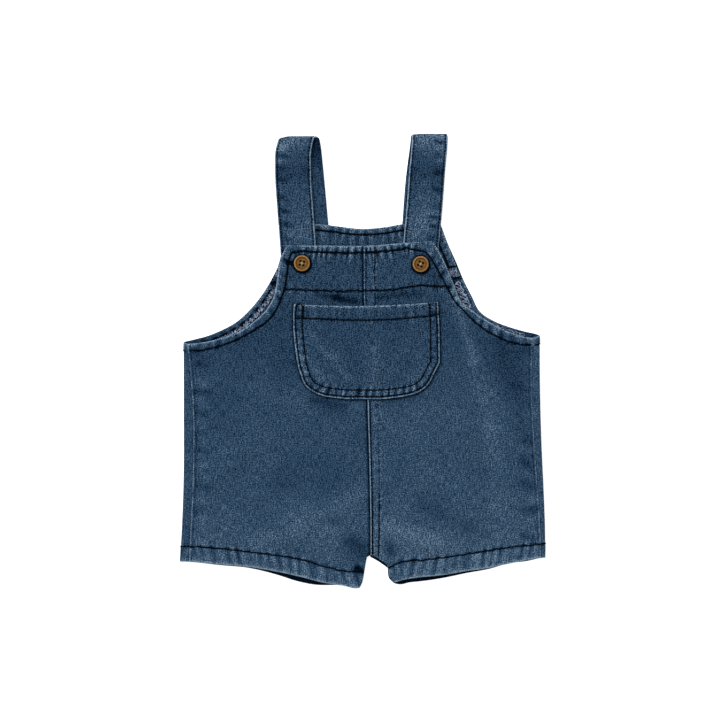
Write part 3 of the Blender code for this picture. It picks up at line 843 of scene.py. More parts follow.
@dataclass
class Shell:
    """Closed piece of cloth on a grid, with its edges rounded off."""

    outer: Array            # right side of the cloth, rows x columns x 3
    inward: Array           # unit way from there to the wrong side, one for all or one for each
    wall: Array
    # wear and painted light and shade of the outer face
    wear: Array
    uv: Array               # place on the flat cloth
    inside: Array | None = None     # how much of the wrong side shows within; if not given, all but the rim
    # painted shade of the inner face
    inner_painted_shade: Array | None = None
    hole: tuple[int, int, int, int] | None = None   # rows and columns left out for a buttonhole

    def mesh(self, name: str) -> bpy.types.Mesh:
        """Make the shell.

        Both faces lie half a wall from the middle of the cloth, times the height of a quarter circle
        at the edges, so that they meet on the rim.

        Args:
            name: Name of the mesh.

        Returns:
            The mesh.
        """
        rows, columns = self.wall.shape
        inward = np.broadcast_to(self.inward, self.outer.shape)
        away = np.clip(rim_distance(self.outer) / RIM[-1], 0.0, 1.0)
        half = (0.5 * self.wall * np.sqrt(1.0 - (1.0 - away) ** 2))[..., None] * inward
        middle = self.outer + 0.5 * self.wall[..., None] * inward
        face, back = middle - half, middle + half
        front_numbers = np.arange(rows * columns).reshape(rows, columns)
        back_numbers = front_numbers.copy()
        inner_count = (rows - 2) * (columns - 2)
        back_numbers[1:-1, 1:-1] = rows * columns + np.arange(inner_count).reshape(rows - 2, columns - 2)
        keep = np.ones((rows - 1, columns - 1), bool)
        walls = []
        if self.hole:
            low, high, left, right = self.hole
            keep[low:high, left:right] = False
            ring = np.concatenate((np.stack((np.full(right - left, low), np.arange(left, right)), 1),
                                   np.stack((np.arange(low, high), np.full(high - low, right)), 1),
                                   np.stack((np.full(right - left, high), np.arange(right, left, -1)), 1),
                                   np.stack((np.arange(high, low, -1), np.full(high - low, left)), 1)))
            ahead = np.roll(ring, -1, axis=0)
            walls = [np.stack((front_numbers[tuple(ring.T)], front_numbers[tuple(ahead.T)],
                               back_numbers[tuple(ahead.T)], back_numbers[tuple(ring.T)]), axis=1)]
        keep = keep.ravel()
        faces = np.concatenate((quads(front_numbers)[keep], quads(back_numbers)[keep][:, ::-1], *walls))
        spread = np.cross(face[1:, :-1] - face[:-1, :-1], face[:-1, 1:] - face[:-1, :-1])
        if float((spread * inward[:-1, :-1]).sum()) < 0.0:
            faces = faces[:, ::-1]
        points = np.concatenate((face.reshape(-1, 3), back[1:-1, 1:-1].reshape(-1, 3)))
        inside = ease(5.0, 6.5, rim_distance(self.outer)) if self.inside is None else self.inside
        inner_painted_shade = np.zeros(self.wall.shape) if self.inner_painted_shade is None else self.inner_painted_shade
        return new_mesh(name, points, faces,
                        wear=np.concatenate((self.wear.ravel(), inner_painted_shade[1:-1, 1:-1].ravel())),
                        inside=np.concatenate((np.zeros(rows * columns), inside[1:-1, 1:-1].ravel())),
                        uv=np.concatenate((self.uv.reshape(-1, 2), self.uv[1:-1, 1:-1].reshape(-1, 2))))

    def piece(self, name: str, finish: Material, node: str, slot: Slot = Slot.DENIM) -> Thing:
        """The shell as a piece of the garment, in place of one solid."""
        return new_piece(name, self.mesh(name), finish, (node,))

    def flat(self) -> tuple[Place, float]:
        """Measure the cut.

        Returns:
            Size of the rectangle that it fits in, and its area, in metres.
        """
        size = (self.uv.max(axis=(0, 1)) - self.uv.min(axis=(0, 1))) * MM
        across = self.uv[:-1, 1:] - self.uv[1:, :-1]
        other = self.uv[1:, 1:] - self.uv[:-1, :-1]
        area = 0.5 * np.abs(across[..., 0] * other[..., 1] - across[..., 1] * other[..., 0]).sum()
        return (float(size[0]), float(size[1])), float(area) * MM * MM


@dataclass
class Threadwork:
    """Threads of one kind, joined as one mesh, with the size of a stitch."""

    name: str
    finish: Material
    length: float = 3.9
    width: float = 1.5
    height: float = 0.8
    pitch: float = 3.0      # from stitch to stitch

    def __post_init__(self) -> None:
        """Start without threads."""
        self.size = np.array((self.length, self.width, self.height)) * 0.5
        self.points: list[Array] = []
        self.faces: list[Array] = []
        self.count = 0

    def keep(self, points: Array, faces: Array) -> None:
        """Add the vertices and faces of a thread."""
        self.points.append(points)
        self.faces.append(faces + self.count)
        self.count += len(points)

    @staticmethod
    def seed_shape() -> tuple[Array, Array]:
        """One straight stitch: four rings of six points, slimmer towards a point at each end.

        Returns:
            Its points within 1 of the middle, and its faces.
        """
        along = np.array((-0.84, -0.32, 0.32, 0.84))
        round_ = np.arange(6) * math.pi / 3.0
        girth = np.sqrt(1.0 - np.abs(along) ** 3)
        rings = np.stack((np.repeat(along, 6), np.outer(girth, np.cos(round_)).ravel(),
                          np.outer(girth, np.sin(round_)).ravel()), axis=1)
        points = np.concatenate((rings, ((-1.0, 0.0, 0.0), (1.0, 0.0, 0.0))))
        return points, tube_faces(len(along), len(round_))

    def sew(self, path: Array, up: Array = UP, seed: int = 0, sway: float = 0.15,
            slant: float = 6.0, sink: float = 0.0, swing: float = 14.0) -> None:
        """Sew a row of stitches along a path.

        Each stitch is the seed shape, stretched to size, bowed upwards by a parabola along its length
        and turned by its slant, at even distances along the path.

        Args:
            path: Points on the face of the cloth, in mm.
            up: Way out of the cloth, one for all or one for each point.
            seed: Picks the small differences.
            sway: How far stitches stray sideways.
            slant: Degrees that they lean.
            sink: How far they are pulled into the cloth.
            swing: Mean length of the waves in which they stray.
        """
        rng = np.random.default_rng(seed)
        arc = distances(path)
        count = max(1, int(round(arc[-1] / self.pitch)))
        middle = (np.arange(count) + 0.5) * arc[-1] / count
        half = 0.5 * self.pitch
        run = unit(between(middle + half, arc, path) - between(middle - half, arc, path))
        aside = unit(np.cross(between(middle, arc, np.broadcast_to(up, path.shape)), run))
        out = np.cross(run, aside)
        lean = np.radians(slant + rng.normal(0.0, 3.0, count))[:, None]
        run, aside = (run * np.cos(lean) + aside * np.sin(lean), aside * np.cos(lean) - run * np.sin(lean))
        stray = sway * (waver(middle, swing, seed + 3) + rng.normal(0.0, 0.4, count))
        centre = between(middle, arc, path) + stray[:, None] * aside + (THREAD_LIFT - sink) * out
        shape, faces = self.seed_shape()
        scale = self.size * np.stack((rng.uniform(0.93, 1.05, count), rng.uniform(0.88, 1.1, count),
                                      np.ones(count)), axis=1)
        local = shape[None] * scale[:, None]
        local[:, :, 2] += 0.3 * self.size[2] * (1.0 - 2.0 * shape[None, :, 0] ** 2)
        basis = np.stack((run, aside, out), axis=1)
        points = centre[:, None] + np.einsum("nkc,ncd->nkd", local, basis)
        self.keep(points.reshape(-1, 3),
                  (faces[None] + (np.arange(count) * len(shape))[:, None, None]).reshape(-1, 4))

    def cord(self, path: Array, radius: float, up: Array = UP, sides: int = 6) -> None:
        """Lay a round thread along a path: a ring of points round each of the path's, capped.

        Args:
            path: Its middle, in mm.
            radius: Of the thread.
            up: Way that is square to most of the path.
            sides: Points in a ring.
        """
        run = unit(np.gradient(path, axis=0))
        aside = unit(np.cross(up, run))
        out = np.cross(run, aside)
        turn = np.arange(sides) * math.tau / sides
        ring = np.cos(turn)[None, :, None] * aside[:, None] + np.sin(turn)[None, :, None] * out[:, None]
        points = (path[:, None] + radius * ring).reshape(-1, 3)
        tips = path[[0, -1]] + radius * np.stack((-run[0], run[-1]))
        self.keep(np.concatenate((points, tips)), tube_faces(len(path), sides))

    def build(self, *nodes: str) -> None:
        """Make the piece, which stands for these solids."""
        mesh = new_mesh(self.name, np.concatenate(self.points), np.concatenate(self.faces))
        new_piece(self.name, mesh, self.finish, nodes)


# -------- plans of the pieces

@dataclass(frozen=True)
class StrapRuns:
    """Middle of a strap in front and behind, by height, its top and its front end."""

    front: Curve
    back: Curve
    top: float
    end: float = 66.0


class Lies(Enum):
    """Where the outer end of a back row lies."""

    SEAM = 0                # at the side seam, on the front
    FOLD = 1                # on the side fold
    FLAT = 2                # under the front


# Rows from the hem up: X and Y of the inner end, then of the outer end. A row that starts on the
# centre seam leaves out its inner X
FRONT_ROWS = {
    Side.LEFT: (
        (-2.4, -198.5, -151, -175.4), (0.2, -192.4, -150.6, -168), (2.5, -179, -150.2, -158),
        (3.9, -171.6, -149.8, -150), (-169.8, -149.4, -142), (-139, -147.9, -112), (-90, -147.1, -72),
        (-40, -147.8, -38), (-8, -149.8, -13), (5, -152.3, 14), (12, -142.5, 14.8), (19, -127.5, 17.7),
        (27, -107.5, 24.5), (37, -92.6, 35), (46, -82.6, 45.1), (58, -76.6, 57), (72, -74, 72),
        (87, -71.6, 87), (99.3, -65.8, 99.6)),
    Side.RIGHT: (
        (27.8, -193.8, 155.5, -172.2), (23.4, -189, 155.4, -166), (21.5, -178.8, 155.2, -158),
        (13, -172.4, 154.9, -150), (-169.8, 154.5, -142), (-139, 152.6, -112), (-90, 149.6, -72),
        (-40, 147.6, -36), (-8, 147.2, -8), (6, 147.9, 19.2), (13, 139.5, 20.4), (21, 125, 25.3),
        (30, 110.5, 33), (41, 97.8, 41.2), (54, 86.4, 50), (67, 79.6, 65.2), (79, 73.2, 80.6),
        (91, 66.4, 94.7), (99.3, 60.8, 103.3)),
}
BACK_ROWS = {
    Side.LEFT: (
        (-2.2, -196.9, -151, -175.4), (0.2, -192.2, -150.6, -168), (2.5, -179, -150.2, -158),
        (3.9, -171.9, -149.8, -150), (-170.4, -149.4, -142), (-139, -147.9, -112), (-90, -147.1, -72),
        (-42, -147.8, -38), (-14, -149.8, -13), (1, -153, 14), (7, -156, 15.6), (11, -152.5, 16.6),
        (16, -144, 18.6), (21, -133, 21.7), (29, -117.5, 28.6), (37, -105.5, 36.6), (50, -92.6, 50.2),
        (66, -81.4, 66.6), (85, -71.8, 86), (100, -67.2, 102), (114.4, -64.5, 117.6)),
    Side.RIGHT: (
        (27.6, -194.7, 155.5, -172.2), (22.8, -189.5, 155.4, -166), (21.9, -181.2, 155.2, -158),
        (13.7, -175.4, 154.9, -150), (-171.6, 154.5, -142), (-139, 152.6, -112), (-90, 149.6, -72),
        (-42, 147.6, -36), (-14, 147.2, -8), (1, 148.6, 19.2), (8, 154.6, 21.3), (12, 150.8, 22.9),
        (17, 142, 24.8), (22, 130.5, 28), (30, 115.5, 33.6), (39, 102.3, 42.3), (52, 95, 56),
        (68, 87.5, 71), (84, 81.8, 85), (100, 74.6, 101), (114.4, 68.4, 117.6)),
}
UNDERARM = 9                # row at which the armhole begins
INNER_CORNERS = {Side.LEFT: (0, 3, 4), Side.RIGHT: (0, 2, 4)}
FRONT_SEAM = Curve((-170, -139, -36, 52, 99), (7, 6.9, 4.3, 1.3, 0.9))
# The felled seam's two rows, from the seam
FELL_NEAR = Curve((-170, -100, -40, 99), (1.6, 1.7, 2, 2))
FELL_FAR = Curve((-170, -100, -40, 99), (7.1, 8.2, 9.3, 9.8))
BACK_SEAM = Curve((-171, -139, 0, 114), (6.6, 5.2, 2, 0.6))
FOLDS = {
    Side.LEFT: Curve((-176, -149, -110, -40, 16), (-159.2, -157.7, -156.2, -155.9, -156)),
    Side.RIGHT: Curve((-173, -147, -114, -70, -3, 21), (159.3, 159.2, 158, 156, 154.6, 154.6)),
}
FRONT_HEMS = {
    Side.LEFT: Curve((-151, -125, -99, -72.6, -52, -35.7, -22, -14, -9.5, -5.5, -2.4),
                     (-175.4, -178, -180.3, -184.8, -189.4, -193.6, -195.8, -197.2, -198.4, -198.9,
                      -198.5)),
    Side.RIGHT: Curve((27.8, 34.5, 47.8, 62, 75.5, 90, 108.8, 120, 142, 155.5),
                      (-193.8, -191.8, -189.5, -188.2, -186.4, -183.9, -181.4, -179, -174.4, -172.2)),
}
BACK_HEMS = {
    Side.LEFT: Curve((-165, -151, -125, -99, -72.6, -58, -41, -20, -2.2),
                     (-175.6, -176, -178.8, -181.3, -187.8, -192.5, -195.9, -196.1, -196.9)),
    Side.RIGHT: Curve((27.6, 32.5, 41, 50, 64, 76, 90, 108.8, 130, 142, 157, 165),
                      (-194.7, -195.6, -193.9, -193, -191.1, -188.9, -185.9, -182.5, -176.9, -175.5,
                       -172.5, -172.2)),
}
FRONT_TOP = Curve((-65.8, -30, 0.9, 30, 60.8), (99.6, 99.4, 99.3, 101.2, 103.3))
BACK_TOP = Curve((-64.5, -40.5, -29.2, 0.6, 21.8, 35.7, 68.4),
                 (117.6, 118.8, 117.6, 114.4, 116.2, 118.6, 117.6))

# Stitched lines of the front, from the centre outwards and from the top down
TOP_STITCHES = {
    Side.LEFT: ((0.9, 93.5), (-11, 93.2), (-27.9, 93.7), (-42.6, 94), (-51, 94.6), (-61, 94)),
    Side.RIGHT: ((0.9, 93.5), (9.9, 94), (20.5, 94.8), (31, 96), (38.3, 97.2), (44.6, 96), (54, 94.6)),
}
ARMHOLE_STITCHES = {
    Side.LEFT: ((-61, 94), (-62.7, 91), (-64, 87), (-64.9, 81.5), (-65.8, 74.8), (-67.9, 61.7),
                (-70.5, 54.6), (-73.5, 47), (-77, 40.5), (-84, 33), (-93, 27), (-102, 21.5), (-113, 16.2),
                (-127, 11.4), (-140, 8.7), (-150.8, 8)),
    Side.RIGHT: ((54, 94.6), (58, 90.4), (62.6, 83.6), (69, 71.6), (74.6, 61.4), (79.9, 51.8),
                 (87.8, 43.2), (96.6, 34.4), (106, 26.8), (115, 21.5), (126.4, 16.4), (136.6, 14),
                 (146.6, 13.4)),
}
FACING_STITCHES = {
    Side.LEFT: ((-67.9, 61.7), (-58, 61), (-47.9, 60.6), (-34, 60.4), (-21.6, 59.8), (-10, 60.3),
                (0.6, 60.1)),
    Side.RIGHT: ((1.6, 60.1), (10, 60.6), (20.5, 60.7), (36.3, 62.6), (52.1, 64.8), (63, 64),
                 (76.2, 63.9)),
}
HEM_STITCHES = {
    Side.LEFT: Curve((-158, -140, -125, -83, -62, -54, -42, -29, -17, -6, 0),
                     (-162, -162.9, -164.2, -169.2, -172.2, -173.8, -177.2, -181, -183.6, -184.4,
                      -184.2)),
    Side.RIGHT: Curve((23, 32, 40.6, 54.4, 76, 98, 131, 159),
                      (-181.4, -176.3, -174.8, -174, -171.4, -167.8, -162.8, -160)),
}

CREASES = (Crease((79, 50), (113, -28), 10, 1.5), Crease((20, -128), (74, -166), 11, 1.7),
           Crease((64, -108), (122, -148), 13, 1.3), Crease((-92, -160), (-10, -118), 13, 1.7),
           Crease((-132, -106), (-92, -66), 12, 0.8))
# Marks on the fronts: painted light and shade on the soft ridges and troughs, painted shadows beside and
# under the pocket and at the left buttonhole, painted shade on the puckers by the side seams, the dark bar at
# the end of the left hem's row, and broad paler and darker patches. X and Y of both ends, width, shade and
# lift
FRONT_MARKS = {
    Side.LEFT: (
        (-92, -158, -56, -146, 9, 0.1, 0.2), (-56, -146, -2, -116, 9, 0.16, 0.2),
        (-130, -104, -95, -67, 10, 0.07, 0.2), (-26, -140, -4, -170, 9, -0.14, -0.3),
        (-10, -157, 4, -169, 6, -0.34), (-40, 57, -20, 54.2, 2.6, -0.4, -0.1),
        (-24, 54, -6, 50.8, 3, -0.75, -0.2), (-139.5, -20, -139.5, -160, 4.5, 0.12),
        (-90, -142, -52, -146, 7, -0.1), (-32, -146, -14, -152, 6, 0.16),
        (-44, -34, -16, -41, 3.4, -0.36, -0.2), (-33, -44, -16, -48, 5, -0.12),
        (-78, 30, -66, 2, 14, -0.08), (-128, 14, -92, 28, 8, -0.1),
        (-144, -4, -136, -4.5, 3, -0.34, -0.2), (-144, -28, -135, -29, 3.4, -0.32, -0.2),
        (-143, -46, -137, -47, 3, -0.28, -0.2), (-143, -63, -138, -63.5, 3, -0.18, -0.15),
        (-143, -78, -136, -80, 3.4, -0.3, -0.2), (-143, -109, -135, -111, 3.2, -0.34, -0.2),
        (-144, -128, -137, -129, 3.2, -0.24, -0.2), (-122, -36, -118, -60, 13, -0.07),
        (-60, -96, -28, -100, 16, -0.08), (-62, 80, -66, 66, 6, -0.1), (-60, 62, -42, 56, 5, 0.08),
        (-4.5, -181.2, 1, -184.8, 2.4, -1.6), (-67.5, 87, -61, 83.6, 1.5, -0.9),
        (-61.6, 90.4, -60.8, 86.6, 1.2, 0.3)),
    Side.RIGHT: (
        (80, 56, 97, 0, 5, 0.24, 0.2), (97, 0, 112, -60, 7, 0.12), (112, -60, 122, -130, 9, 0.07),
        (120, 14, 130, -26, 9, -0.24, -0.3), (136, 6, 139, -60, 8, -0.14),
        (26, -146, 64, -160, 8, 0.18, 0.2), (50, -126, 92, -147, 8, -0.18, -0.3),
        (57, -180, 71, -178, 5, 0.09), (24, -161, 25, -168, 4.5, -0.36, -0.2),
        (14, 54.2, 50, 58.4, 3, -0.45, -0.2), (142, -70, 145, -72, 3.6, -0.26, -0.25),
        (139, -88, 146, -92, 3.8, -0.34, -0.3), (140, -107, 146, -109, 4.2, -0.3, -0.3),
        (141, -130, 149, -132, 3.6, -0.24, -0.2), (140, -153, 149, -155.5, 2.6, -0.4, -0.3),
        (58, 78, 67, 68, 7, -0.14), (22, -36, 52, -32, 4, -0.14), (46, -60, 56, -90, 14, 0.03)),
}

# X at which a front's hem stitches start, by its inner leg
HEM_ROW_START = {Side.LEFT: -1.6, Side.RIGHT: 22.8}
# Shift of each buttonhole from its button
HOLE_SHIFT = {Side.LEFT: (-6.9, 0.4), Side.RIGHT: (0.0, 0.0)}
STRAP_RUNS = {
    Side.LEFT: StrapRuns(Curve((66, 100, 131, 164, 186, 195), (-54.6, -56.2, -58.6, -60.5, -59.7, -57.3)),
                         Curve((118, 148, 170, 188, 195), (-45.3, -48, -50.1, -52.2, -53.6)), 195.2),
    Side.RIGHT: StrapRuns(Curve((66, 100, 131, 164, 190, 197), (48.6, 51, 53.9, 56.3, 58.5, 58.6)),
                          Curve((118, 160, 190, 197), (50.2, 53.5, 57.3, 58)), 197.2),
}
# On both straps: paler along the fold, and painted shade below it
STRAP_MARKS_BOTH = ((-15, 193, 15, 194, 9, 0.26), (-13, 164, 13, 165, 8, -0.24))
# On each strap: paler at its base and at the outer corner of its top, and painted shade along its inner edge,
# where the ply behind shows
STRAP_MARKS = {
    Side.LEFT: ((-8, 104, 8, 116, 10, 0.14), (-12, 176, -12, 196, 7, 0.32), (13, 160, 13, 192, 5, -0.12)),
    Side.RIGHT: ((-8, 110, 8, 130, 10, 0.2), (13, 176, 13, 197, 6, 0.22), (-13, 142, -13, 180, 5, -0.14)),
}
# Marks on the pocket: painted light on its soft ridges, and paler and darker patches. X and Y of both ends,
# width, shade and lift
POCKET_MARKS = ((-41, 18, -14, -14, 3.6, 0.12, 0.15), (12, 17, 12, -24, 4.5, 0.1, 0.15),
                (-18, 18, -2, -8, 5, -0.08), (-58, 20, -50, -14, 3.5, 0.22), (-25, 28, 30, 28, 17, -0.08),
                (-50, 2, -36, -16, 4.5, 0.12), (56, -8, 36, -26, 6, 0.1), (-24, 47.5, -4, 46.6, 2, 0.08))
# Arch of stitches at the pocket's left corner
POCKET_ARCH = ((-57.6, 45.8), (-56.6, 47.8), (-54.8, 48.6), (-53, 47.8), (-52.2, 45.8))
# Stretches of the felled seam outside the pocket, and how deep each row sinks there
FELL_RUNS = ((0.6, 56, (0.05, 0.25)), (56, 134.6, (0.2, 0.55)), (215.5, math.inf, (0.5, 0.42)))
# Loops of a band's overlock: middle as a share of its width, swing, pitch and radius of the cord
OVERLOCK = {
    Side.LEFT: ((0.72, 1.8, 2.4, 0.22, 0), (0.83, 2.2, 3.1, 0.22, 0), (0.93, 1.8, 2.2, 0.22, 0)),
    Side.RIGHT: ((0.6, 2.4, 3.4, 0.3, 0), (0.77, 2.8, 4.2, 0.3, 0), (0.94, 2.4, 3.6, 0.3, 0),
                 (0.32, 1.5, 3.2, 0.22, 112)),
}
# Loops on the facing's lower edge: height above it, and pitch
FACING_LOOPS = ((2.4, 2.2), (4.0, 1.8), (6.2, 2.6))
# Bars at the ends of the facing's side rows: X and Y of both ends
ARMHOLE_BARS = ((73.4, 81.2, 81.6, 81.6), (73.6, 80.6, 79.4, 80.8), (79.6, 70.6, 84.9, 72.8),
                (79.6, 71.6, 83, 72.4), (-80.2, 67.4, -75.6, 68.6), (-80, 66.2, -75.8, 67.2),
                (-74.4, 77.6, -72.6, 78))
TACK = ((86.0, 55.8, 3.1), (92.8, 57.6, 3.1))   # loose end of the right band's overlock


def front_underside(x: Array, y: Array) -> Array:
    """Height of the front's underside, as its solid has it.

    It lies low in the middle of the body, higher at the seams and armholes, and over the straps; the
    creases stand on that.

    Args:
        x, y: Plan.

    Returns:
        Height in mm.
    """
    height = FRONT_LOW + (FRONT_EDGE - FRONT_LOW) * np.maximum(ease(105.0, 140.0, np.abs(x)),
                                                               ease(-30.0, 4.0, y))
    for runs in STRAP_RUNS.values():
        beside = np.abs(x - runs.front.at(y)) - 0.5 * STRAP_WIDTH - STRAP_EASE
        away = np.hypot(np.maximum(beside, 0.0), np.maximum(runs.end - STRAP_TIP - y, 0.0))
        height = height + (FRONT_OVER_STRAP - height) * (1.0 - ease(0.0, STRAP_SLOPE, away))
    return height + sum(crease.ridge(x, y) for crease in CREASES)


def marks(rows: Sequence[Sequence[float]]) -> list[Mark]:
    """Marks of a table."""
    return [Mark(*row) for row in rows]


def edges(rows: Sequence[Sequence[float]], seam: Callable[[float], float]) -> tuple[Array, Array]:
    """Edges of a half panel.

    Args:
        rows: Its rows, as the tables have them.
        seam: X of its edge on the centre seam, by height.

    Returns:
        Inner ends and outer ends of the rows.
    """
    inner = [row[:2] if len(row) == 4 else (seam(row[0]), row[0]) for row in rows]
    return np.array(inner, float), np.array([row[-2:] for row in rows], float)


class Ruled:
    """Panel that is ruled between its inner and its outer edge."""

    def __init__(self, inner: Array, outer: Array, inner_corners: Sequence[int],
                 outer_corners: Sequence[int]) -> None:
        """Keep the edges, each smooth between its corners.

        Args:
            inner: Points of the inner edge, row by row.
            outer: Points of the outer edge.
            inner_corners: Rows at which the inner edge turns sharply, its ends among them.
            outer_corners: The same for the outer edge.
        """
        self.edges = ((inner, tuple(inner_corners)), (outer, tuple(outer_corners)))

    def edge(self, which: int, at: Array) -> Array:
        """Points of one edge.

        Args:
            which: 0 for the inner, 1 for the outer edge.
            at: Fractional rows.

        Returns:
            Its points there.
        """
        points, corners = self.edges[which]
        found = np.empty((len(at), 2))
        for first, last in zip(corners[:-1], corners[1:]):
            rows = np.arange(first, last + 1)
            inside = (at >= first) & (at <= last)
            for axis in (0, 1):
                found[inside, axis] = spline(rows, points[rows, axis], at[inside])
        return found

    def rows(self, pitch: float) -> Array:
        """Fractional rows for a grid, with a rim at both ends and a row at each corner.

        Args:
            pitch: How far apart they lie on average.

        Returns:
            The rows.
        """
        count = len(self.edges[0][0])
        fine = np.linspace(0.0, count - 1.0, (count - 1) * 24 + 1)
        steps = sum(np.linalg.norm(np.diff(self.edge(which, fine), axis=0), axis=1) for which in (0, 1))
        length = np.concatenate(((0.0,), 0.5 * np.cumsum(steps)))
        at = np.interp(stations(float(length[-1]), pitch), length, fine)
        for corner in sorted(set(self.edges[0][1]) | set(self.edges[1][1])):
            at[np.abs(at - corner).argmin()] = corner
        return at

    def grid(self, pitch: float, columns: int) -> tuple[Array, Array, Array]:
        """Straight lines from edge to edge: inner end times (1 - share) plus outer end times share.

        Args:
            pitch: From line to line.
            columns: Points between the rims of each.

        Returns:
            The fractional rows, the shares and the plan.
        """
        at = self.rows(pitch)
        inner, outer = self.edge(0, at), self.edge(1, at)
        width = np.linalg.norm(outer - inner, axis=1)
        share = across(width, columns) / width[:, None]
        return at, share, inner[:, None] * (1.0 - share[..., None]) + outer[:, None] * share[..., None]


def stations(length: float, pitch: float) -> Array:
    """Distances along a length: rim lines at both ends and an even pitch between."""
    count = max(2, int(round((length - 2.0 * RIM[-1]) / pitch)) + 1)
    return np.concatenate((RIM[:-1], np.linspace(RIM[-1], length - RIM[-1], count), length - RIM[-2::-1]))


def across(width: Array, count: int) -> Array:
    """The same across rows of different widths, with one count for all.

    Args:
        width: Of each row.
        count: Lines between the two rims.

    Returns:
        Distances, rows x lines.
    """
    rows = len(width)
    low = np.broadcast_to(RIM[:-1], (rows, len(RIM) - 1))
    share = np.linspace(0.0, 1.0, count)[None]
    middle = RIM[-1] + (width[:, None] - 2.0 * RIM[-1]) * share
    return np.concatenate((low, middle, width[:, None] - RIM[-2::-1][None]), axis=1)


def bend_end(points: Array, row: int, curve: Curve, reach: float) -> None:
    """Bring a panel's end row onto its curve, and fade that out over its reach.

    Args:
        points: Grid of the panel, which is changed.
        row: The end row, 0 or -1.
        curve: Y over X.
        reach: How far from the row the shift is felt.
    """
    shift = curve.at(points[row, :, 0]) - points[row, :, 1]
    fade = np.clip(1.0 - np.abs(points[:, :, 1] - points[row, :, 1]) / reach, 0.0, 1.0)
    fade[row] = 1.0
    points[:, :, 1] += fade * shift


def uneven(count: int) -> Array:
    """Numbers of a fine row, for lines drawn along an edge."""
    return np.linspace(0.0, count - 1.0, (count - 1) * 16 + 1)


class LyingCloth:
    """Piece that lies flat: its drape gives the height of its face over the plan."""

    step: ClassVar[float] = 0.6     # between the points of a line that is laid on it

    def drape(self, x: Array, y: Array) -> Drape:
        """Work out the cloth at places in the plan.

        Args:
            x, y: Plan.

        Returns:
            Height of the face that shows, wall, and wear with painted light and shade.
        """
        raise NotImplementedError

    def on_face(self, line: Seamline, start: float = 0.0, end: float = math.inf) -> Array:
        """Lay part of a line on the face.

        Args:
            line: The line.
            start: Distance along it at which the part starts.
            end: Distance at which it ends.

        Returns:
            Its points.
        """
        plan = line.at(np.arange(start, min(end, line.length), self.step))
        return raised(plan, self.drape(plan[:, 0], plan[:, 1]).height)


